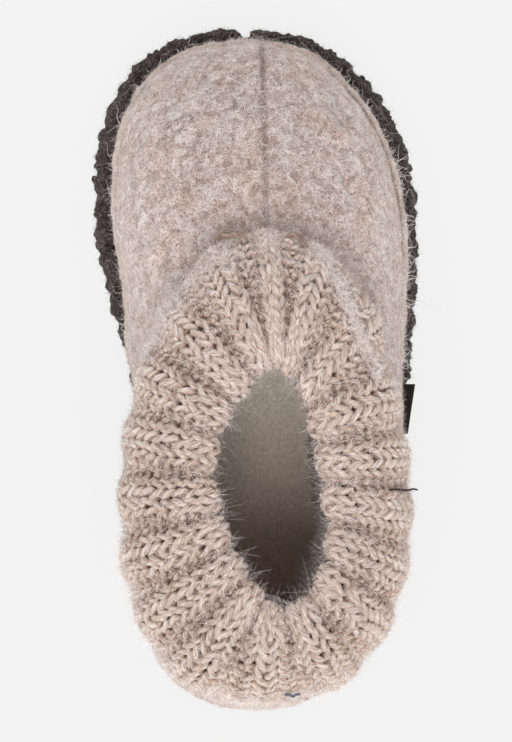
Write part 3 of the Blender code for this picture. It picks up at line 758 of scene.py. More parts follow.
for amount, size, shift in ((0.16, 1.6, 0.0), (0.35, 3.4, 7.7), (0.35, 16.0, 9.1)):
    uneven = uneven + amount * lumps(wall, size * MM, shift)
uneven = uneven * np.minimum(height / 0.04, 1.0)
in_places = np.clip(0.5 + 1.5 * lumps(wall, 12.0 * MM, 1.7), 0.0, 1.0)
# painted shade in the creases between curls that face up
crease = facing_up * in_places * np.exp(-((locks / 0.07) ** 2))
tuck = TUCK_DEPTH * np.sin(math.pi * np.clip(height / 0.4, 0.0, 1.0))
tuck = tuck * np.clip(np.sin(2 * wall_angle), 0.0, 1.0)
pushed_in = uneven - tuck - SEAM_DEPTH * seam
wall = wall + ((pushed_in + RIDGE_HEIGHT * ridge) * MM)[..., None] * wall_out
print("wall", wall.shape[:2], "points, deepest", round(float(pushed_in.min()), 1), "mm")

# %% [markdown]
# The wall's lower edge is turned outward into a small lip and stitched down in a groove behind it. The
# groove stands open along the ball of the foot, more so on the outer side, and is felted shut at the toe
# and heel. So the lip's section is blended between one with a groove and one without.

# %% Turned-out lip
LIP_ROWS = 14
along_foot = foot.plan[:, 1] / MM
open_groove = np.where(
    foot.plan[:, 0] > 0,
    np.interp(along_foot, (-80, 5, 20, 30, 62, 68, 73), (0.2, 0.3, 0.7, 1.0, 1.0, 0.5, 0.0)),
    np.interp(along_foot, (-80, 5, 12, 25, 38, 52, 62), (0.2, 0.4, 0.6, 0.9, 0.8, 0.5, 0.0)),
)
filled = [(row.inset, row.height + (1.0 if row.name == "stitch groove" else 0.0)) for row in LIP_EDGE]
open_rows = smooth_rows([row[1:] for row in LIP_EDGE], LIP_ROWS)
lip = []
for (inset, rise), (_, full) in zip(open_rows[:-1], smooth_rows(filled, LIP_ROWS)):
    plan = foot.plan - (foot.felt_inset + inset * MM) * foot.outward
    rise = np.maximum(full + open_groove * (rise - full), 0.0)[:, None]
    lip.append(ring(plan, SOLE_THICK + GAP + rise * MM + toe_lift(plan[:, 1:])))
lip = np.array(lip)
lip_out = facing(lip)
lip = lip + ((0.30 * lumps(lip, 2.5 * MM, 2.2) + 0.24 * lumps(lip, 1.1 * MM)) * MM)[..., None] * lip_out
under = foot.plan - (foot.felt_inset + LIP_EDGE[-1].inset * MM + WALL) * foot.outward
under = ring(under, SOLE_THICK + GAP + toe_lift(under[:, 1:]))[None]
felt = np.concatenate((lip, wall, inner, under))
print("felt", felt.shape[:2], "points")

# %% [markdown]
# Each mark on the felt is a number from 0 to 1 at every point. The lip is pale where the felt is bent, and
# its groove is painted brown shade. Painted shade, brownish, lies in the creases between the curls and on
# the felt just ahead of the cuff. A painted sheen pales steep sides, and painted light the felt beside the
# cuff and round the heel.

# %% Dyes on the felt
rows_in_lip = np.linspace(0.0, len(LIP_EDGE) - 1.0, LIP_ROWS)[:-1]
felt_marks = {mark.name: np.zeros(felt.shape[:2]) for mark in MARKS}
mottle = np.clip(0.75 + 0.5 * lumps(lip, 3.0 * MM, 4.4), 0.0, 1.0)
pale = np.interp(rows_in_lip, (0, 2.4, 3.0), (0.5, 0.5, 0.2))[:, None]
felt_marks["lip"][: len(lip)] = pale * mottle * np.interp(along_foot, (5, 30), (0.2, 1.0))
# the groove's brown is painted shade, on the lip and on the foot of the wall
felt_marks["groove"][: len(lip)] = np.exp(-(((rows_in_lip - 3.2) / 0.55) ** 2))[:, None] * open_groove
felt_marks["groove"][len(lip) : len(lip) + 9] = np.linspace(0.9, 0.0, 9)[:, None] * open_groove
on_wall = slice(len(lip), len(lip) + UPPER_ROWS)
felt_marks["seam"][on_wall] = np.interp(height, (0.0, 0.12, 0.3, 0.7, 1.0), (0.4, 0.7, 0.9, 0.8, 0.2)) * seam
# painted shade, brownish, in the hollow just ahead of the cuff
ahead_of_cuff = np.clip((height - 0.72) / 0.25, 0.0, 1.0) * np.clip(np.cos(wall_angle), 0.0, 1.0) ** 4
felt_marks["crease"][on_wall] = 0.3 * np.maximum(crease, ahead_of_cuff)
# painted light: the felt beside the cuff, in the shade of its overhang, and round the heel is lightened
beside_cuff = np.clip((height - 0.45) / 0.35, 0.0, 1.0) * np.clip(
    1.4 * np.abs(np.sin(wall_angle)) - 0.4, 0.0, np.where(wall_angle > 0, 1.0, 0.5)
)
at_heel = 0.6 * np.clip(-1.5 * np.cos(wall_angle), 0.0, 1.0)
# painted sheen: pale on the tops of the curls, on steep sides and towards the collar
painted_sheen = 0.10 * facing_up * (locks + small_locks) + 1.3 * np.clip(1.0 - 1.1 * wall_out[..., 2], 0.0, 1.0)
painted_sheen = painted_sheen + 0.2 * np.clip((height - 0.5) / 0.3, 0.0, 1.0)
felt_marks["painted_sheen"][on_wall] = np.clip(np.maximum(painted_sheen, beside_cuff + at_heel), 0.0, 1.0)
# painted sheen on the lip, less towards the toe
felt_marks["painted_sheen"][: len(lip)] = np.interp(along_foot, (-80, 5, 30), (0.8, 0.8, 0.5))
make_piece(
    "felt_upper", felt, grid_faces(len(felt), len(arcs), True, True), boiled_wool, "upper",
    felt_marks,
)

# %% [markdown]
# The lip is sewn to the sole with a running stitch in the groove. Each stitch is a short thread that dives
# into the felt at both ends.

# %% Stitches in the groove
STITCH_PITCH, STITCH_LENGTH = 4.0 * MM, 2.7 * MM
STITCH_INSET, GROOVE_HEIGHT = 1.75 * MM, 1.55 * MM
STITCH_RADII = np.array((0.05, 0.24, 0.27, 0.28, 0.27, 0.24, 0.05)) * MM
starts = np.arange(round(FOOT_ROUND / STITCH_PITCH)) * STITCH_PITCH
steps = np.linspace(0.0, 1.0, 7)
sewn = foot_columns((starts[:, None] + steps * STITCH_LENGTH).ravel())
plan = sewn.plan - (sewn.felt_inset + STITCH_INSET) * sewn.outward
arch = np.tile(0.35 * np.sin(math.pi * steps) - 0.1, len(starts))[:, None] * MM
groove_floor = SOLE_THICK + GAP + GROOVE_HEIGHT + toe_lift(plan[:, 1:])
paths = ring(plan, groove_floor + arch).reshape(len(starts), len(steps), 3)
upright = np.broadcast_to((0.0, 0.0, 1.0), paths.shape)
points, faces, fibres = tubes(paths, upright, STITCH_RADII, 6, False)
make_piece("groove_stitches", points, faces, sewing_thread, marks=fibres)

# %% [markdown]
# ## The rib cuff
# The cuff is knitted two stitches plain, two stitches purl, eighteen ribs round, and doubled over at the
# rim. It slouches: it bulges over the collar, then rolls inward to the opening, with shallow dents where it
# has been pressed. First its smooth surface is worked out as a map, which gives the place of any stitch
# from its number round the cuff and its course. Single ribs are pulled to one side, as a worn cuff's are.

# %% The cuff's surface as a map of stitches
RIBS, STITCHES = 18, 72
COURSES_TO_RIM, COURSES, COURSE_HEIGHT = 16, 20, 2.9 * MM
MAP_COLUMNS, MAP_ROWS = 720, 180
# in is a share of the way from the collar's seam to the rim, and up and half_thick are in mm
CuffFold = namedtuple("CuffFold", "name front_in front_up side_in side_up back_in back_up half_thick")
CUFF_FOLDS = [
    CuffFold("seam", 0.00, 51.0, 0.00, 46.0, 0.00, 44.0, 1.5),
    CuffFold("belly", -0.01, 57.0, -0.16, 54.5, -0.16, 53.0, 2.3),
    CuffFold("corner", 0.16, 64.2, -0.10, 64.0, 0.01, 62.5, 2.5),
    CuffFold("shoulder", 0.43, 70.6, 0.26, 71.8, 0.36, 70.8, 2.5),
    CuffFold("top", 0.74, 75.0, 0.66, 76.0, 0.70, 76.0, 2.5),
    CuffFold("rim", 1.00, 77.0, 1.00, 77.8, 1.00, 78.3, 2.5),
]
# how far a rib is pulled round the cuff at its two ends, in ribs
RibPull = namedtuple("RibPull", "rib collar rim")
RIB_PULLS = [
    RibPull(0, 0.0, 0.0),
    RibPull(1, -0.1, -0.6),
    RibPull(2, 0.0, -0.55),
    RibPull(3, 0.05, -0.6),
    RibPull(4, 0.0, -0.45),
    RibPull(5, -0.1, -0.2),
    RibPull(6, -0.15, -0.2),
    RibPull(7, -0.25, -0.1),
    RibPull(8, -0.25, -0.15),
    RibPull(9, -0.05, -0.35),
    RibPull(10, 0.1, -0.5),
    RibPull(11, 0.1, -0.3),
    RibPull(12, 0.0, -0.1),
    RibPull(13, -0.1, 0.1),
    RibPull(14, -0.3, 0.35),
    RibPull(15, -0.4, 0.55),
    RibPull(16, -0.1, 0.6),
    RibPull(17, 0.1, 0.6),
    RibPull(18, 0.0, 0.0),
]


def ribs_round(pull):
    """Shares of the way round the cuff for the map's columns, with each rib pulled to its place."""
    even = np.arange(MAP_COLUMNS) * RIBS / MAP_COLUMNS
    pulls = [getattr(row, pull) for row in RIB_PULLS]
    return (even + np.interp(even, [row.rib for row in RIB_PULLS], pulls)) / RIBS


angle = collar_angles(ribs_round("collar"))
order = np.argsort(wall_angle % (2 * math.pi))
known = (wall_angle % (2 * math.pi))[order]
smooth_wall, smooth_out, _, _ = upper_wall(arcs, 12)


def at_collar(values):
    """The wall's values at the collar, read at the angles of the cuff's columns."""
    read = [np.interp(angle, known, column[order], period=2 * math.pi) for column in values.T]
    return np.stack(read, axis=1)


collar_out = unit(at_collar(smooth_out[-1]))
rising = unit(at_collar(smooth_wall[-1] - smooth_wall[-2]))
seam_line = collar_point(angle) - WALL / 2 * collar_out + GAP * rising
rim_line = rim_points(ribs_round("rim"))
print("ribs:", RIBS, "stitches round:", STITCHES)

# %% The cuff's folds and dents
# angle and spread are in degrees, and depth is a share of the way to the rim
Dent = namedtuple("Dent", "name angle spread depth")
DENTS = [
    Dent("beside the tab", 72.0, 17.0, 0.11),
    Dent("over the arch", -66.0, 15.0, 0.05),
    Dent("inner instep", -40.0, 18.0, 0.06),
]
OUTSIDE_ROWS, BEND_ROWS, INSIDE_ROWS = 61, 11, 40
CREST = OUTSIDE_ROWS + BEND_ROWS // 2  # the row at the top of the fold
dent = np.zeros(MAP_COLUMNS)
for hollow in DENTS:
    apart = (np.degrees(angle) - hollow.angle + 180) % 360 - 180
    dent = dent + hollow.depth * np.exp(-((apart / hollow.spread) ** 2))
folds = [seam_line]
for fold in CUFF_FOLDS[1:]:
    share = around(angle, fold.front_in, fold.side_in, fold.back_in)
    if fold.name in ("belly", "corner"):
        share = share + dent * np.clip(1.2 - np.abs(share), 0.0, 1.0)
    up = around(angle, fold.front_up, fold.side_up, fold.back_up)[:, None] * MM
    folds.append(ring(seam_line[:, :2] + share[:, None] * (rim_line - seam_line[:, :2]), up))
cuff_middle = smooth_rows(folds, OUTSIDE_ROWS)
half_thick = smooth_rows([fold.half_thick * MM for fold in CUFF_FOLDS], OUTSIDE_ROWS)[:, None, None]
cuff_out = facing(cuff_middle)
cuff_out[0] = collar_out
over = unit(cuff_middle[-1] - cuff_middle[-2])
bends = np.radians(np.linspace(15.0, 165.0, BEND_ROWS))[:, None, None]
fold_over = cuff_middle[-1] + half_thick[-1] * (np.cos(bends) * cuff_out[-1] + np.sin(bends) * over)
inside = (cuff_middle - half_thick * cuff_out)[::-1][:INSIDE_ROWS]
skin = np.concatenate((cuff_middle + half_thick * cuff_out, fold_over, inside))
lengths = np.concatenate(
    (np.zeros((1, MAP_COLUMNS)), np.cumsum(np.linalg.norm(np.diff(skin, axis=0), axis=2), axis=0))
)
rows = np.linspace(-0.6, COURSES + 0.6, MAP_ROWS)
cuff_map = np.empty((MAP_ROWS, MAP_COLUMNS, 3))
for column in range(MAP_COLUMNS):
    to_rim = lengths[CREST, column]
    past_rim = to_rim + (rows - COURSES_TO_RIM) * COURSE_HEIGHT
    wanted = np.where(rows < COURSES_TO_RIM, rows / COURSES_TO_RIM * to_rim, past_rim)
    for axis in range(3):
        cuff_map[:, column, axis] = np.interp(wanted, lengths[:, column], skin[:, column, axis])
for below in np.flatnonzero(rows < 0):
    cuff_map[below] = skin[0] + (rows[below] * COURSE_HEIGHT) * rising
cuff_map_out = facing(cuff_map)
print(f"courses to the rim: {COURSES_TO_RIM}, {np.mean(lengths[CREST]) / COURSES_TO_RIM / MM:.2f} mm high")


def on_cuff(around_share, course):
    """Place and outward direction on the cuff: a share of the way round and a course number."""
    c = (around_share % 1.0) * MAP_COLUMNS
    r = np.clip((course - rows[0]) / (rows[1] - rows[0]), 0, MAP_ROWS - 1.001)
    c0, r0 = np.floor(c).astype(int), np.floor(r).astype(int)
    fc, fr = (c - c0)[..., None], (r - r0)[..., None]
    c0, c1 = c0 % MAP_COLUMNS, (c0 + 1) % MAP_COLUMNS
    place, out = (
        (1 - fr) * ((1 - fc) * grid[r0, c0] + fc * grid[r0, c1])
        + fr * ((1 - fc) * grid[r0 + 1, c0] + fc * grid[r0 + 1, c1])
        for grid in (cuff_map, cuff_map_out)
    )
    return place, unit(out)


# %% [markdown]
# Behind the loops lies a sheet that follows the ribs, so no daylight comes through the knit; its dark colour
# is painted shade. The doubled cuff's inner layer is slack: it hangs from the rim into the opening, furthest
# at the outer heel side, and it too is dyed dark as painted shade.

# %% Backing and lining of the cuff
FRONT_RIB_WIDTH = 0.65  # the rib over the instep is pulled narrow, with a ladder of purl bars on each side


def rib_share(stitch, course):
    """Share of the way round for a stitch: plain ones keep their width and purl ones close at the rim."""
    rib = np.round(stitch / 4)
    local = stitch - 4 * rib
    plain = np.interp(course, (0, 5, 9, 13, COURSES_TO_RIM, COURSES), (0.52, 0.62, 0.72, 0.78, 0.82, 0.80))
    narrow = np.interp(course, (6, COURSES_TO_RIM), (FRONT_RIB_WIDTH, 1.0))
    plain = np.where(rib % RIBS == 0, narrow, 1.0) * plain
    inside = np.minimum(np.abs(local), 1.0) * plain / 2
    outside = np.maximum(np.abs(local) - 1.0, 0.0) * (1 - plain) / 2
    return (rib + np.sign(local) * (inside + outside)) / RIBS, np.abs(local)


def rib_height(local, course):
    """Plain or purl (1 to -1) and how far the cloth stands out at this place across a rib, in metres."""
    plain = np.clip((1.0 - local) / 0.35, -1.0, 1.0)
    swell = np.cos(math.pi / 2 * np.minimum(local, 2.0))
    depth = np.interp(course, (-1, 0, 4, 9, COURSES_TO_RIM, COURSES), (0.0, 0.15, 0.55, 1.0, 1.0, 0.5))
    return plain, (depth * np.where(swell > 0, 0.8, 1.7) * swell - 0.9) * MM


BACK_ROWS = 40
stitch_grid, course_grid = np.meshgrid(np.arange(0, STITCHES, 1 / 4), np.linspace(-0.5, COURSES, BACK_ROWS))
share, local = rib_share(stitch_grid, course_grid)
place, out = on_cuff(share, course_grid)
_, lift = rib_height(local, course_grid)
back = place + (lift - 0.95 * MM)[..., None] * out
faces = grid_faces(BACK_ROWS, back.shape[1], False, True)
make_piece("cuff_backing", back, faces, cuff_backing, "rib_cuff")
INNER_SLACK, SLACK_ANGLE, SLACK_SPREAD = 3.6 * MM, math.radians(125), math.radians(45)
turned = (angle - SLACK_ANGLE + math.pi) % (2 * math.pi) - math.pi
slack = (INNER_SLACK * np.exp(-((turned / SLACK_SPREAD) ** 2)))[:, None]
# inward of the rim and up are in mm, and slack is a share of the sag
LiningFold = namedtuple("LiningFold", "name inward slack up")
LINING_FOLDS = [
    LiningFold("rim", 1.8, 0.0, 77.5),
    LiningFold("hang", 2.2, 0.6, 71.0),
    LiningFold("sag", 1.6, 1.0, 63.0),
    LiningFold("return", -3.0, 0.0, 55.0),
]
inward = -unit(cuff_out[OUTSIDE_ROWS // 2, :, :2])
lining_folds = [
    ring(rim_line + (fold.inward * MM + fold.slack * slack) * inward, fold.up * MM) for fold in LINING_FOLDS
]
lining_folds.append(seam_line - 0.8 * MM * collar_out)
lining = smooth_rows(lining_folds, 28)[:, ::3]
make_piece("cuff_lining", lining, grid_faces(*lining.shape[:2], False, True), cuff_lining)

# %% [markdown]
# The knit could be a bump pattern on a smooth roll, but real loops throw real shadows. So each course is
# one endless strand of yarn whose path is the textbook curve of a knitted loop: it sways along the course,
# swings up and down a row, and dips in and out of the cloth. In a plain stitch the two legs of the loop
# stand out and draw a V; in a purl stitch the same curve is turned inside out and draws short bars. The
# loops hang from the rim, so the points of the Vs look towards it. Painted shade darkens the yarn where it
# lies deep, less in the low courses, which have felted, and a pale painted sheen lies on steep sides below
# the rim courses and over the instep.

# %% Courses of looped yarn
POINTS_PER_STITCH, YARN_SIDES = 12, 6
SWAY, SWING, DIP = 0.30, 0.86, 0.60 * MM  # of a stitch, of a course, and in and out of the cloth
YARN_RADIUS, PLY_DEPTH, TWIST = 0.80 * MM, 0.20, 8.0 * MM  # two plies make the yarn an oval that turns
DEEPEST, HIGHEST = -1.4 * MM, 1.2 * MM  # from the cloth: the painted shade is darkest between the loops and gone on top
GROOVE_LIGHT = 0.85  # a whole groove between ribs gets less painted shade than a gap of the same depth
rng = np.random.default_rng(5)
t = np.arange(STITCHES * POINTS_PER_STITCH) / POINTS_PER_STITCH
from_rib = np.abs((t + 2.5) % 4 - 2)  # in stitches from the middle of the rib
loop_size = np.interp(from_rib, (0.9, 1.6), (1.0, 0.35))  # purl loops are squeezed to short bars
yarn_paths, yarn_out, yarn_cloth = [], [], []
for course in range(COURSES):
    wander, stray = (
        np.interp(t, np.arange(STITCHES + 1), np.resize(rng.normal(0, 1, STITCHES), STITCHES + 1))
        for _ in range(2)
    )
    stitch = t + 0.5 + loop_size * (SWAY + 0.05 * stray) * np.sin(4 * math.pi * t) + 0.07 * stray
    height = course - loop_size * SWING * np.cos(2 * math.pi * t) + 0.13 * wander
    share, local = rib_share(stitch, height)
    place, out = on_cuff(share, height)
    plain, lift = rib_height(local, height)
    proud = lift - plain * DIP * np.cos(4 * math.pi * t) + 0.16 * MM * wander
    yarn_paths.append(place + proud[:, None] * out)
    yarn_out.append(out)
    yarn_cloth.append(place + GROOVE_LIGHT * lift[:, None] * out)
yarn_paths, yarn_out, yarn_cloth = np.array(yarn_paths), np.array(yarn_out), np.array(yarn_cloth)
steps = np.linalg.norm(np.roll(yarn_paths, -1, axis=1) - yarn_paths, axis=2)
along_yarn = np.cumsum(steps, axis=1)
spin = 2 * math.pi * along_yarn / along_yarn[:, -1:] * np.round(along_yarn[:, -1:] / TWIST)
around_yarn = 2 * math.pi * np.arange(YARN_SIDES) / YARN_SIDES
yarn_radius = YARN_RADIUS * (1 + PLY_DEPTH * np.cos(2 * (around_yarn - spin[..., None])))
# painted sheen over the instep
over_instep = 0.15 * np.clip(np.cos(2 * math.pi * t / STITCHES), 0.0, 1.0)
BANDS = (("knit_seam_courses", 0, 7), ("knit_shoulder_courses", 7, 14), ("knit_rim_courses", 14, COURSES))
for name, first, last in BANDS:
    band = slice(first, last)
    points, faces, fibres = tubes(
        yarn_paths[band], yarn_out[band], yarn_radius[band], YARN_SIDES, True, spin[band]
    )
    # how high each point lies in the cloth, for painted shade where it lies deep
    above = ((points - yarn_cloth[band][:, :, None]) * yarn_out[band][:, :, None]).sum(axis=-1)
    felted = np.interp(np.arange(first, last), (2, 10), (0.68, 0.12))[:, None, None]
    fibres["proud"] = np.clip((above - DEEPEST) / (HIGHEST - DEEPEST), felted, 1.0)
    # painted sheen where the knit turns sideways, away from the light above
    turned_away = np.clip((0.8 - yarn_out[band][..., 2]) / 0.8, 0.0, 1.0) * (name != "knit_rim_courses")
    fibres["painted_haze"] = np.broadcast_to((0.9 * turned_away + over_instep)[:, :, None], points.shape[:-1])
    make_piece(name, points, faces, knitting_wool, marks=fibres)

# %% [markdown]
# Where the cuff is sewn to the instep, a few thick brown stitches lie along the seam in the gaps between
# the ribs. A dark thread end hangs from a groove on the outer side, and a bit of lint is caught at the
# heel.

# %% Seam stitches and thread ends
ThreadEnd = namedtuple("ThreadEnd", "name cloth radius places")
THREAD_ENDS = [  # places are ribs round the cuff from the front towards the inner side, courses up, mm proud
    ThreadEnd(
        "inner seam stitch", seam_wool, 0.72,
        [(0.36, 4.4, -0.3), (0.43, 3.7, 0.9), (0.58, 2.9, 1.0), (0.74, 2.4, 1.5), (0.84, 2.1, 0.5)],
    ),
    ThreadEnd(
        "outer seam stitch", seam_wool, 0.68,
        [(-0.34, 3.7, -0.4), (-0.40, 3.7, 0.8), (-0.50, 3.9, 1.0), (-0.60, 4.3, 0.9), (-0.68, 4.6, -0.4)],
    ),
    ThreadEnd(
        "dark thread end", satin_ribbon, 0.22,
        [(-4.62, 10.5, -1.2), (-4.60, 9.0, 0.1), (-4.62, 7.5, 0.7), (-4.60, 6.2, 1.0), (-4.62, 4.8, 1.6)],
    ),
    ThreadEnd(
        "lint", lint, 0.30,
        [(9.46, 6.6, 0.5), (9.42, 7.1, 0.9), (9.38, 6.8, 1.0), (9.34, 7.2, 0.9), (9.29, 6.9, 0.5)],
    ),
]
for end in THREAD_ENDS:
    ribs, course, proud = smooth_rows(end.places, 17).T
    place, out = on_cuff(ribs / RIBS, course)
    paths = (place + proud[:, None] * MM * out)[None]
    points, faces, fibres = tubes(paths, out[None], end.radius * MM, 7, False)
    make_piece(end.name.replace(" ", "_"), points, faces, end.cloth, marks=fibres)

# %% [markdown]
# ## The side tab
# A short piece of dark ribbon is folded in half and caught in the seam above the sole on the outer side. It
# is a long thin U in section, a little askew, and it is left plain.

# %% Folded ribbon tab
TAB_TOE_END, TAB_HEEL_END = -4.2 * MM, -15.8 * MM
TAB_TOE_REACH, TAB_HEEL_REACH, TAB_THICK = 4.2 * MM, 3.3 * MM, 1.1 * MM
TAB_SEAT, TAB_ROWS = 2.1 * MM, 25  # it lies on the lip's top
outer_side = upper_wall(np.arange(72) * FOOT_ROUND / 72, 11)[0][1]
outer_side = outer_side[outer_side[:, 0] > 0]
outer_side = outer_side[np.argsort(outer_side[:, 1])]
bow = np.radians(np.linspace(-90, 90, 9))
fold = [(1.0 + 0.1 * math.cos(b) - 0.1, 0.5 + 0.5 * math.sin(b)) for b in bow]
slit = [(0.0, 0.58), (0.88, 0.56), (0.88, 0.44), (0.0, 0.42)]
section = np.array([(0.0, 0.0)] + fold + [(0.0, 1.0)] + slit)
tab_rows = []
for share in np.linspace(0.0, 1.0, TAB_ROWS):
    y = TAB_HEEL_END + share * (TAB_TOE_END - TAB_HEEL_END)
    root = np.interp(y, outer_side[:, 1], outer_side[:, 0]) + GAP
    reach = TAB_HEEL_REACH + share * (TAB_TOE_REACH - TAB_HEEL_REACH)
    curl = 0.25 * MM * section[:, 0] ** 2 * math.cos(3.0 * share)
    height = SOLE_THICK + 2 * GAP + TAB_SEAT + section[:, 1] * TAB_THICK + curl
    tab_rows.append(np.stack((root + section[:, 0] * reach, np.full(len(section), y), height), axis=1))
tab_rows = np.array(tab_rows)
faces = grid_faces(TAB_ROWS, len(section), False, True).tolist()
end_face = list(range(len(section)))
faces += [end_face[::-1], [(TAB_ROWS - 1) * len(section) + corner for corner in end_face]]
make_piece("ribbon_tab", tab_rows, faces, satin_ribbon, "side_tab")

# %% [markdown]
# ## Loose fibres
# Wool is never clean-edged. Fine fibres lie over the felt, follow the yarn, stand off the knit and reach
# across the dark edge of the sole. Hair systems could grow them, but they are harder to keep the same on
# every run. So each is a narrow ribbon with a bend in it, drawn a little thicker than a real hair so that
# it still shows at this distance.


# %% Fibre paths
def fibre_paths(rng, roots, out, length, lift, bend, points=3):
    """Bent paths that leave the roots at this angle to the cloth, in any direction along it."""
    count = len(roots)
    along = unit(np.cross(out, rng.normal(size=(count, 3))))
    rise = rng.uniform(*lift, count)[:, None]
    start = np.cos(rise) * along + np.sin(rise) * out
    aside = unit(np.cross(out, along)) * rng.uniform(-bend, bend, count)[:, None]
    sag = -out * rng.uniform(0.0, 0.5, count)[:, None] * np.sin(rise)
    s = np.linspace(0.0, 1.0, points)[None, :, None]
    size = rng.uniform(*length, count)[:, None, None] * MM
    curl = np.sin(2 * math.pi * s * rng.uniform(0.6, 1.4, count)[:, None, None]) if points > 3 else 0.0
    bent = s * start[:, None] + s**2 * (aside + sag)[:, None] + 0.25 * curl * aside[:, None]
    return roots[:, None] + size * bent


def make_fibres(name, rng, paths, upright, width, tone, cloth):
    """One piece of flat fibres along these paths, each with its own width and tone."""
    points, faces = ribbons(paths, upright, rng.uniform(*width, len(paths)) * MM)
    points[..., 2] = np.maximum(points[..., 2], 0.0)
    tones = np.broadcast_to(rng.beta(*tone, len(paths))[:, None, None], points.shape[:-1])
    return make_piece(name, points, faces, cloth, marks={"tone": tones})


# length and width are in mm, lift in radians from the cloth, and tone is the two shapes of a beta draw
FLUFF_FIELDS = "name count length lift bend width tone cloth slot points"
Fluff = namedtuple("Fluff", FLUFF_FIELDS, defaults=[loose_wool, "rib_knit_wool", 3])


def scatter(fluff, rng, roots, out):
    """Fibres rooted at a random choice of these points."""
    pick = rng.integers(0, len(roots), fluff.count)
    paths = fibre_paths(rng, roots[pick], out[pick], fluff.length, fluff.lift, fluff.bend, fluff.points)
    make_fibres(fluff.name, rng, paths, out[pick][:, None], fluff.width, fluff.tone, fluff.cloth)


def flat(*grids):
    """Grids of points as plain lists of points."""
    return [grid.reshape(-1, 3) for grid in grids]


print("fluff is told by its", FLUFF_FIELDS)

# %% [markdown]
# Spun yarn shows single fibres along its strands. Each of these runs a few points along the yarn, turns a
# little round it and lifts off at its tip.

# %% Fibres that follow the yarn
YARN_FIBRES = 20000
rng = np.random.default_rng(33)
yarn_side, yarn_over = strand_frame(yarn_paths, yarn_out, True)
course = rng.integers(0, COURSES, YARN_FIBRES)[:, None]
s = np.linspace(0.0, 1.0, 3)
begin = rng.uniform(0, yarn_paths.shape[1], YARN_FIBRES)[:, None]
place = begin + rng.uniform(2.0, 6.0, YARN_FIBRES)[:, None] * s
first = np.floor(place).astype(int) % yarn_paths.shape[1]
second = (first + 1) % yarn_paths.shape[1]
part = (place % 1.0)[..., None]
base, side, over = (
    (1 - part) * grid[course, first] + part * grid[course, second]
    for grid in (yarn_paths, yarn_side, yarn_over)
)
lean = rng.uniform(-1.4, 1.4, YARN_FIBRES)[:, None]
roll = (lean + rng.uniform(-0.7, 0.7, YARN_FIBRES)[:, None] * s)[..., None]
upright = np.cos(roll) * over + np.sin(roll) * side
lift = (0.90 + rng.exponential(0.25, YARN_FIBRES)[:, None] * s**2)[..., None] * MM
make_fibres(
    "yarn_fibres", rng, base + lift * upright, upright, (0.05, 0.09), (1.6, 1.3), loose_wool
)

# %% [markdown]
# The felt has a nap of short fibres, denser and paler on its steep sides, partly as painted sheen, and
# along the lip. A few long hairs curl out over the sole, mostly on the outer side.

# %% Fluff on the felt and its lip
ON_FELT = {"slot": "boiled_wool"}
FELT_HAIR = Fluff("felt_fibres", 26000, (0.8, 3.0), (0.0, 0.4), 0.5, (0.04, 0.075), (1.3, 1.0), **ON_FELT)
LIP_HAIR = Fluff("lip_fluff", 8000, (0.6, 1.9), (0.0, 0.8), 0.9, (0.05, 0.09), (3.0, 1.0), **ON_FELT)
LONG_HAIR = Fluff(
    "long_hairs", 420, (2.0, 5.0), (0.1, 0.8), 1.8, (0.10, 0.14), (4.0, 0.8), **ON_FELT, points=9
)
# on steep sides the hairs are pale partly as painted sheen
SIDE_HAIR = Fluff("side_fluff", 13000, (0.8, 2.8), (0.0, 0.7), 0.8, (0.05, 0.09), (4.0, 0.9), **ON_FELT)
scatter(FELT_HAIR, rng, *flat(wall[:-2], wall_out[:-2]))
scatter(LIP_HAIR, rng, *flat(lip[2:], lip_out[2:]))
outer = (foot.plan[:, 0] > 0) & (np.abs(along_foot - 20) < 42)
often = np.concatenate((np.flatnonzero(along_foot > -15), np.repeat(np.flatnonzero(outer), 4)))
scatter(LONG_HAIR, rng, *flat(lip[2:7][:, often], lip_out[2:7][:, often]))
steep = wall_out[..., 2] < 0.55
scatter(SIDE_HAIR, rng, wall[steep], wall_out[steep])

# %% [markdown]
# The knit has frizz all over. Where it meets the instep it has felted: a pale ridge of matted wool runs up
# each side, and the seam and the tops of the low ribs are blurred by fluff.

# %% Fluff on the knit over the instep
KNIT_HAIR = Fluff("knit_frizz", 10000, (0.8, 3.2), (0.2, 1.1), 0.9, (0.045, 0.08), (1.8, 1.2))
RIDGE_HAIR = Fluff("felted_ridge", 2600, (0.8, 3.2), (0.0, 0.7), 1.2, (0.045, 0.08), (4.0, 0.9))
SEAM_HAIR = Fluff("seam_fluff", 8000, (1.0, 3.4), (0.0, 0.6), 0.9, (0.055, 0.10), (3.0, 1.0))
CREST_HAIR = Fluff("rib_top_fluff", 4000, (0.8, 2.6), (0.0, 0.5), 0.9, (0.05, 0.09), (5.0, 0.8))
yarn_top = yarn_paths + 0.7 * MM * yarn_out
scatter(KNIT_HAIR, rng, *flat(yarn_top, yarn_out))
ridge_ribs = np.concatenate((rng.uniform(-2.7, -0.8, 2400), rng.uniform(0.7, 2.8, 2600)))
ridge_course = np.interp(ridge_ribs, (-2.6, -1.9, -1.35, -1.1, -0.8, 0.7), (8.9, 8.8, 7.2, 6.0, 4.6, 5.6))
ridge_course = ridge_course + rng.normal(0.0, np.where(ridge_ribs < 0, 0.45, 0.9))
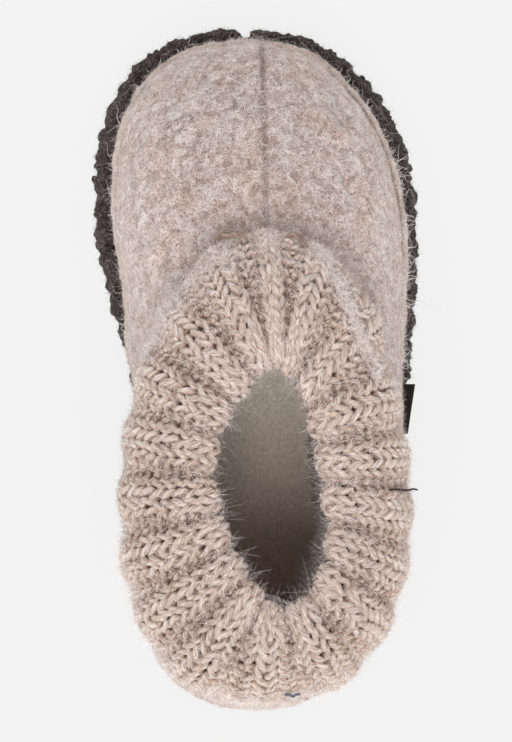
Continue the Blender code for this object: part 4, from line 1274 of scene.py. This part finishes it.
tuft, tuft_out = on_cuff(ridge_ribs / RIBS, ridge_course)
scatter(RIDGE_HAIR, rng, tuft + rng.uniform(0.2, 1.2, (len(tuft), 1)) * MM * tuft_out, tuft_out)
instep = np.abs((t + STITCHES / 2) % STITCHES - STITCHES / 2) < 22
nearer = np.repeat((2, 3, 4, 5, 6, 7), (4, 6, 4, 2, 1, 1))
scatter(SEAM_HAIR, rng, *flat(yarn_top[nearer][:, instep], yarn_out[nearer][:, instep]))
crest = ((yarn_top - yarn_cloth) * yarn_out).sum(axis=-1)[3:8] > 0.6 * MM
scatter(CREST_HAIR, rng, yarn_top[3:8][crest], yarn_out[3:8][crest])

# %% [markdown]
# Longer curled hairs stand at the rim and on the cuff's bulging sides. Hairs on the slack lining are dark as
# painted shade, and short ones lie over the nubs of the sole.

# %% Fluff on the rim, the belly, the lining and the sole
RIM_HAIR = Fluff("rim_fluff", 4000, (0.8, 3.8), (0.1, 0.9), 2.2, (0.04, 0.07), (2.0, 1.4), points=5)
BELLY_HAIR = Fluff("belly_fluff", 7000, (1.0, 3.4), (0.1, 1.2), 1.0, (0.05, 0.09), (5.0, 0.8))
# the lining's hairs are dark as painted shade
LINING_HAIR = Fluff("lining_fluff", 4000, (0.6, 2.6), (0.2, 1.3), 1.0, (0.05, 0.10), (2.0, 1.2), dark_fluff)
SOLE_HAIR = Fluff(
    "sole_fluff", 12000, (0.5, 1.9), (0.0, 0.8), 0.9, (0.05, 0.09), (0.9, 1.9), dark_fluff, "dark_felted_wool"
)
scatter(RIM_HAIR, rng, *flat(yarn_top[15:], yarn_out[15:]))
scatter(BELLY_HAIR, rng, *flat(yarn_top[2:7][:, ~instep], yarn_out[2:7][:, ~instep]))
into_opening = np.broadcast_to(ring(inward, 0.0)[::3], lining.shape)
loose = slack[::3, 0] > 0.3 * INNER_SLACK
scatter(LINING_HAIR, rng, *flat(lining[3:17][:, loose], into_opening[3:17][:, loose]))
scatter(SOLE_HAIR, rng, *flat(sole_rows[6:-2], sole_out[6:-2]))
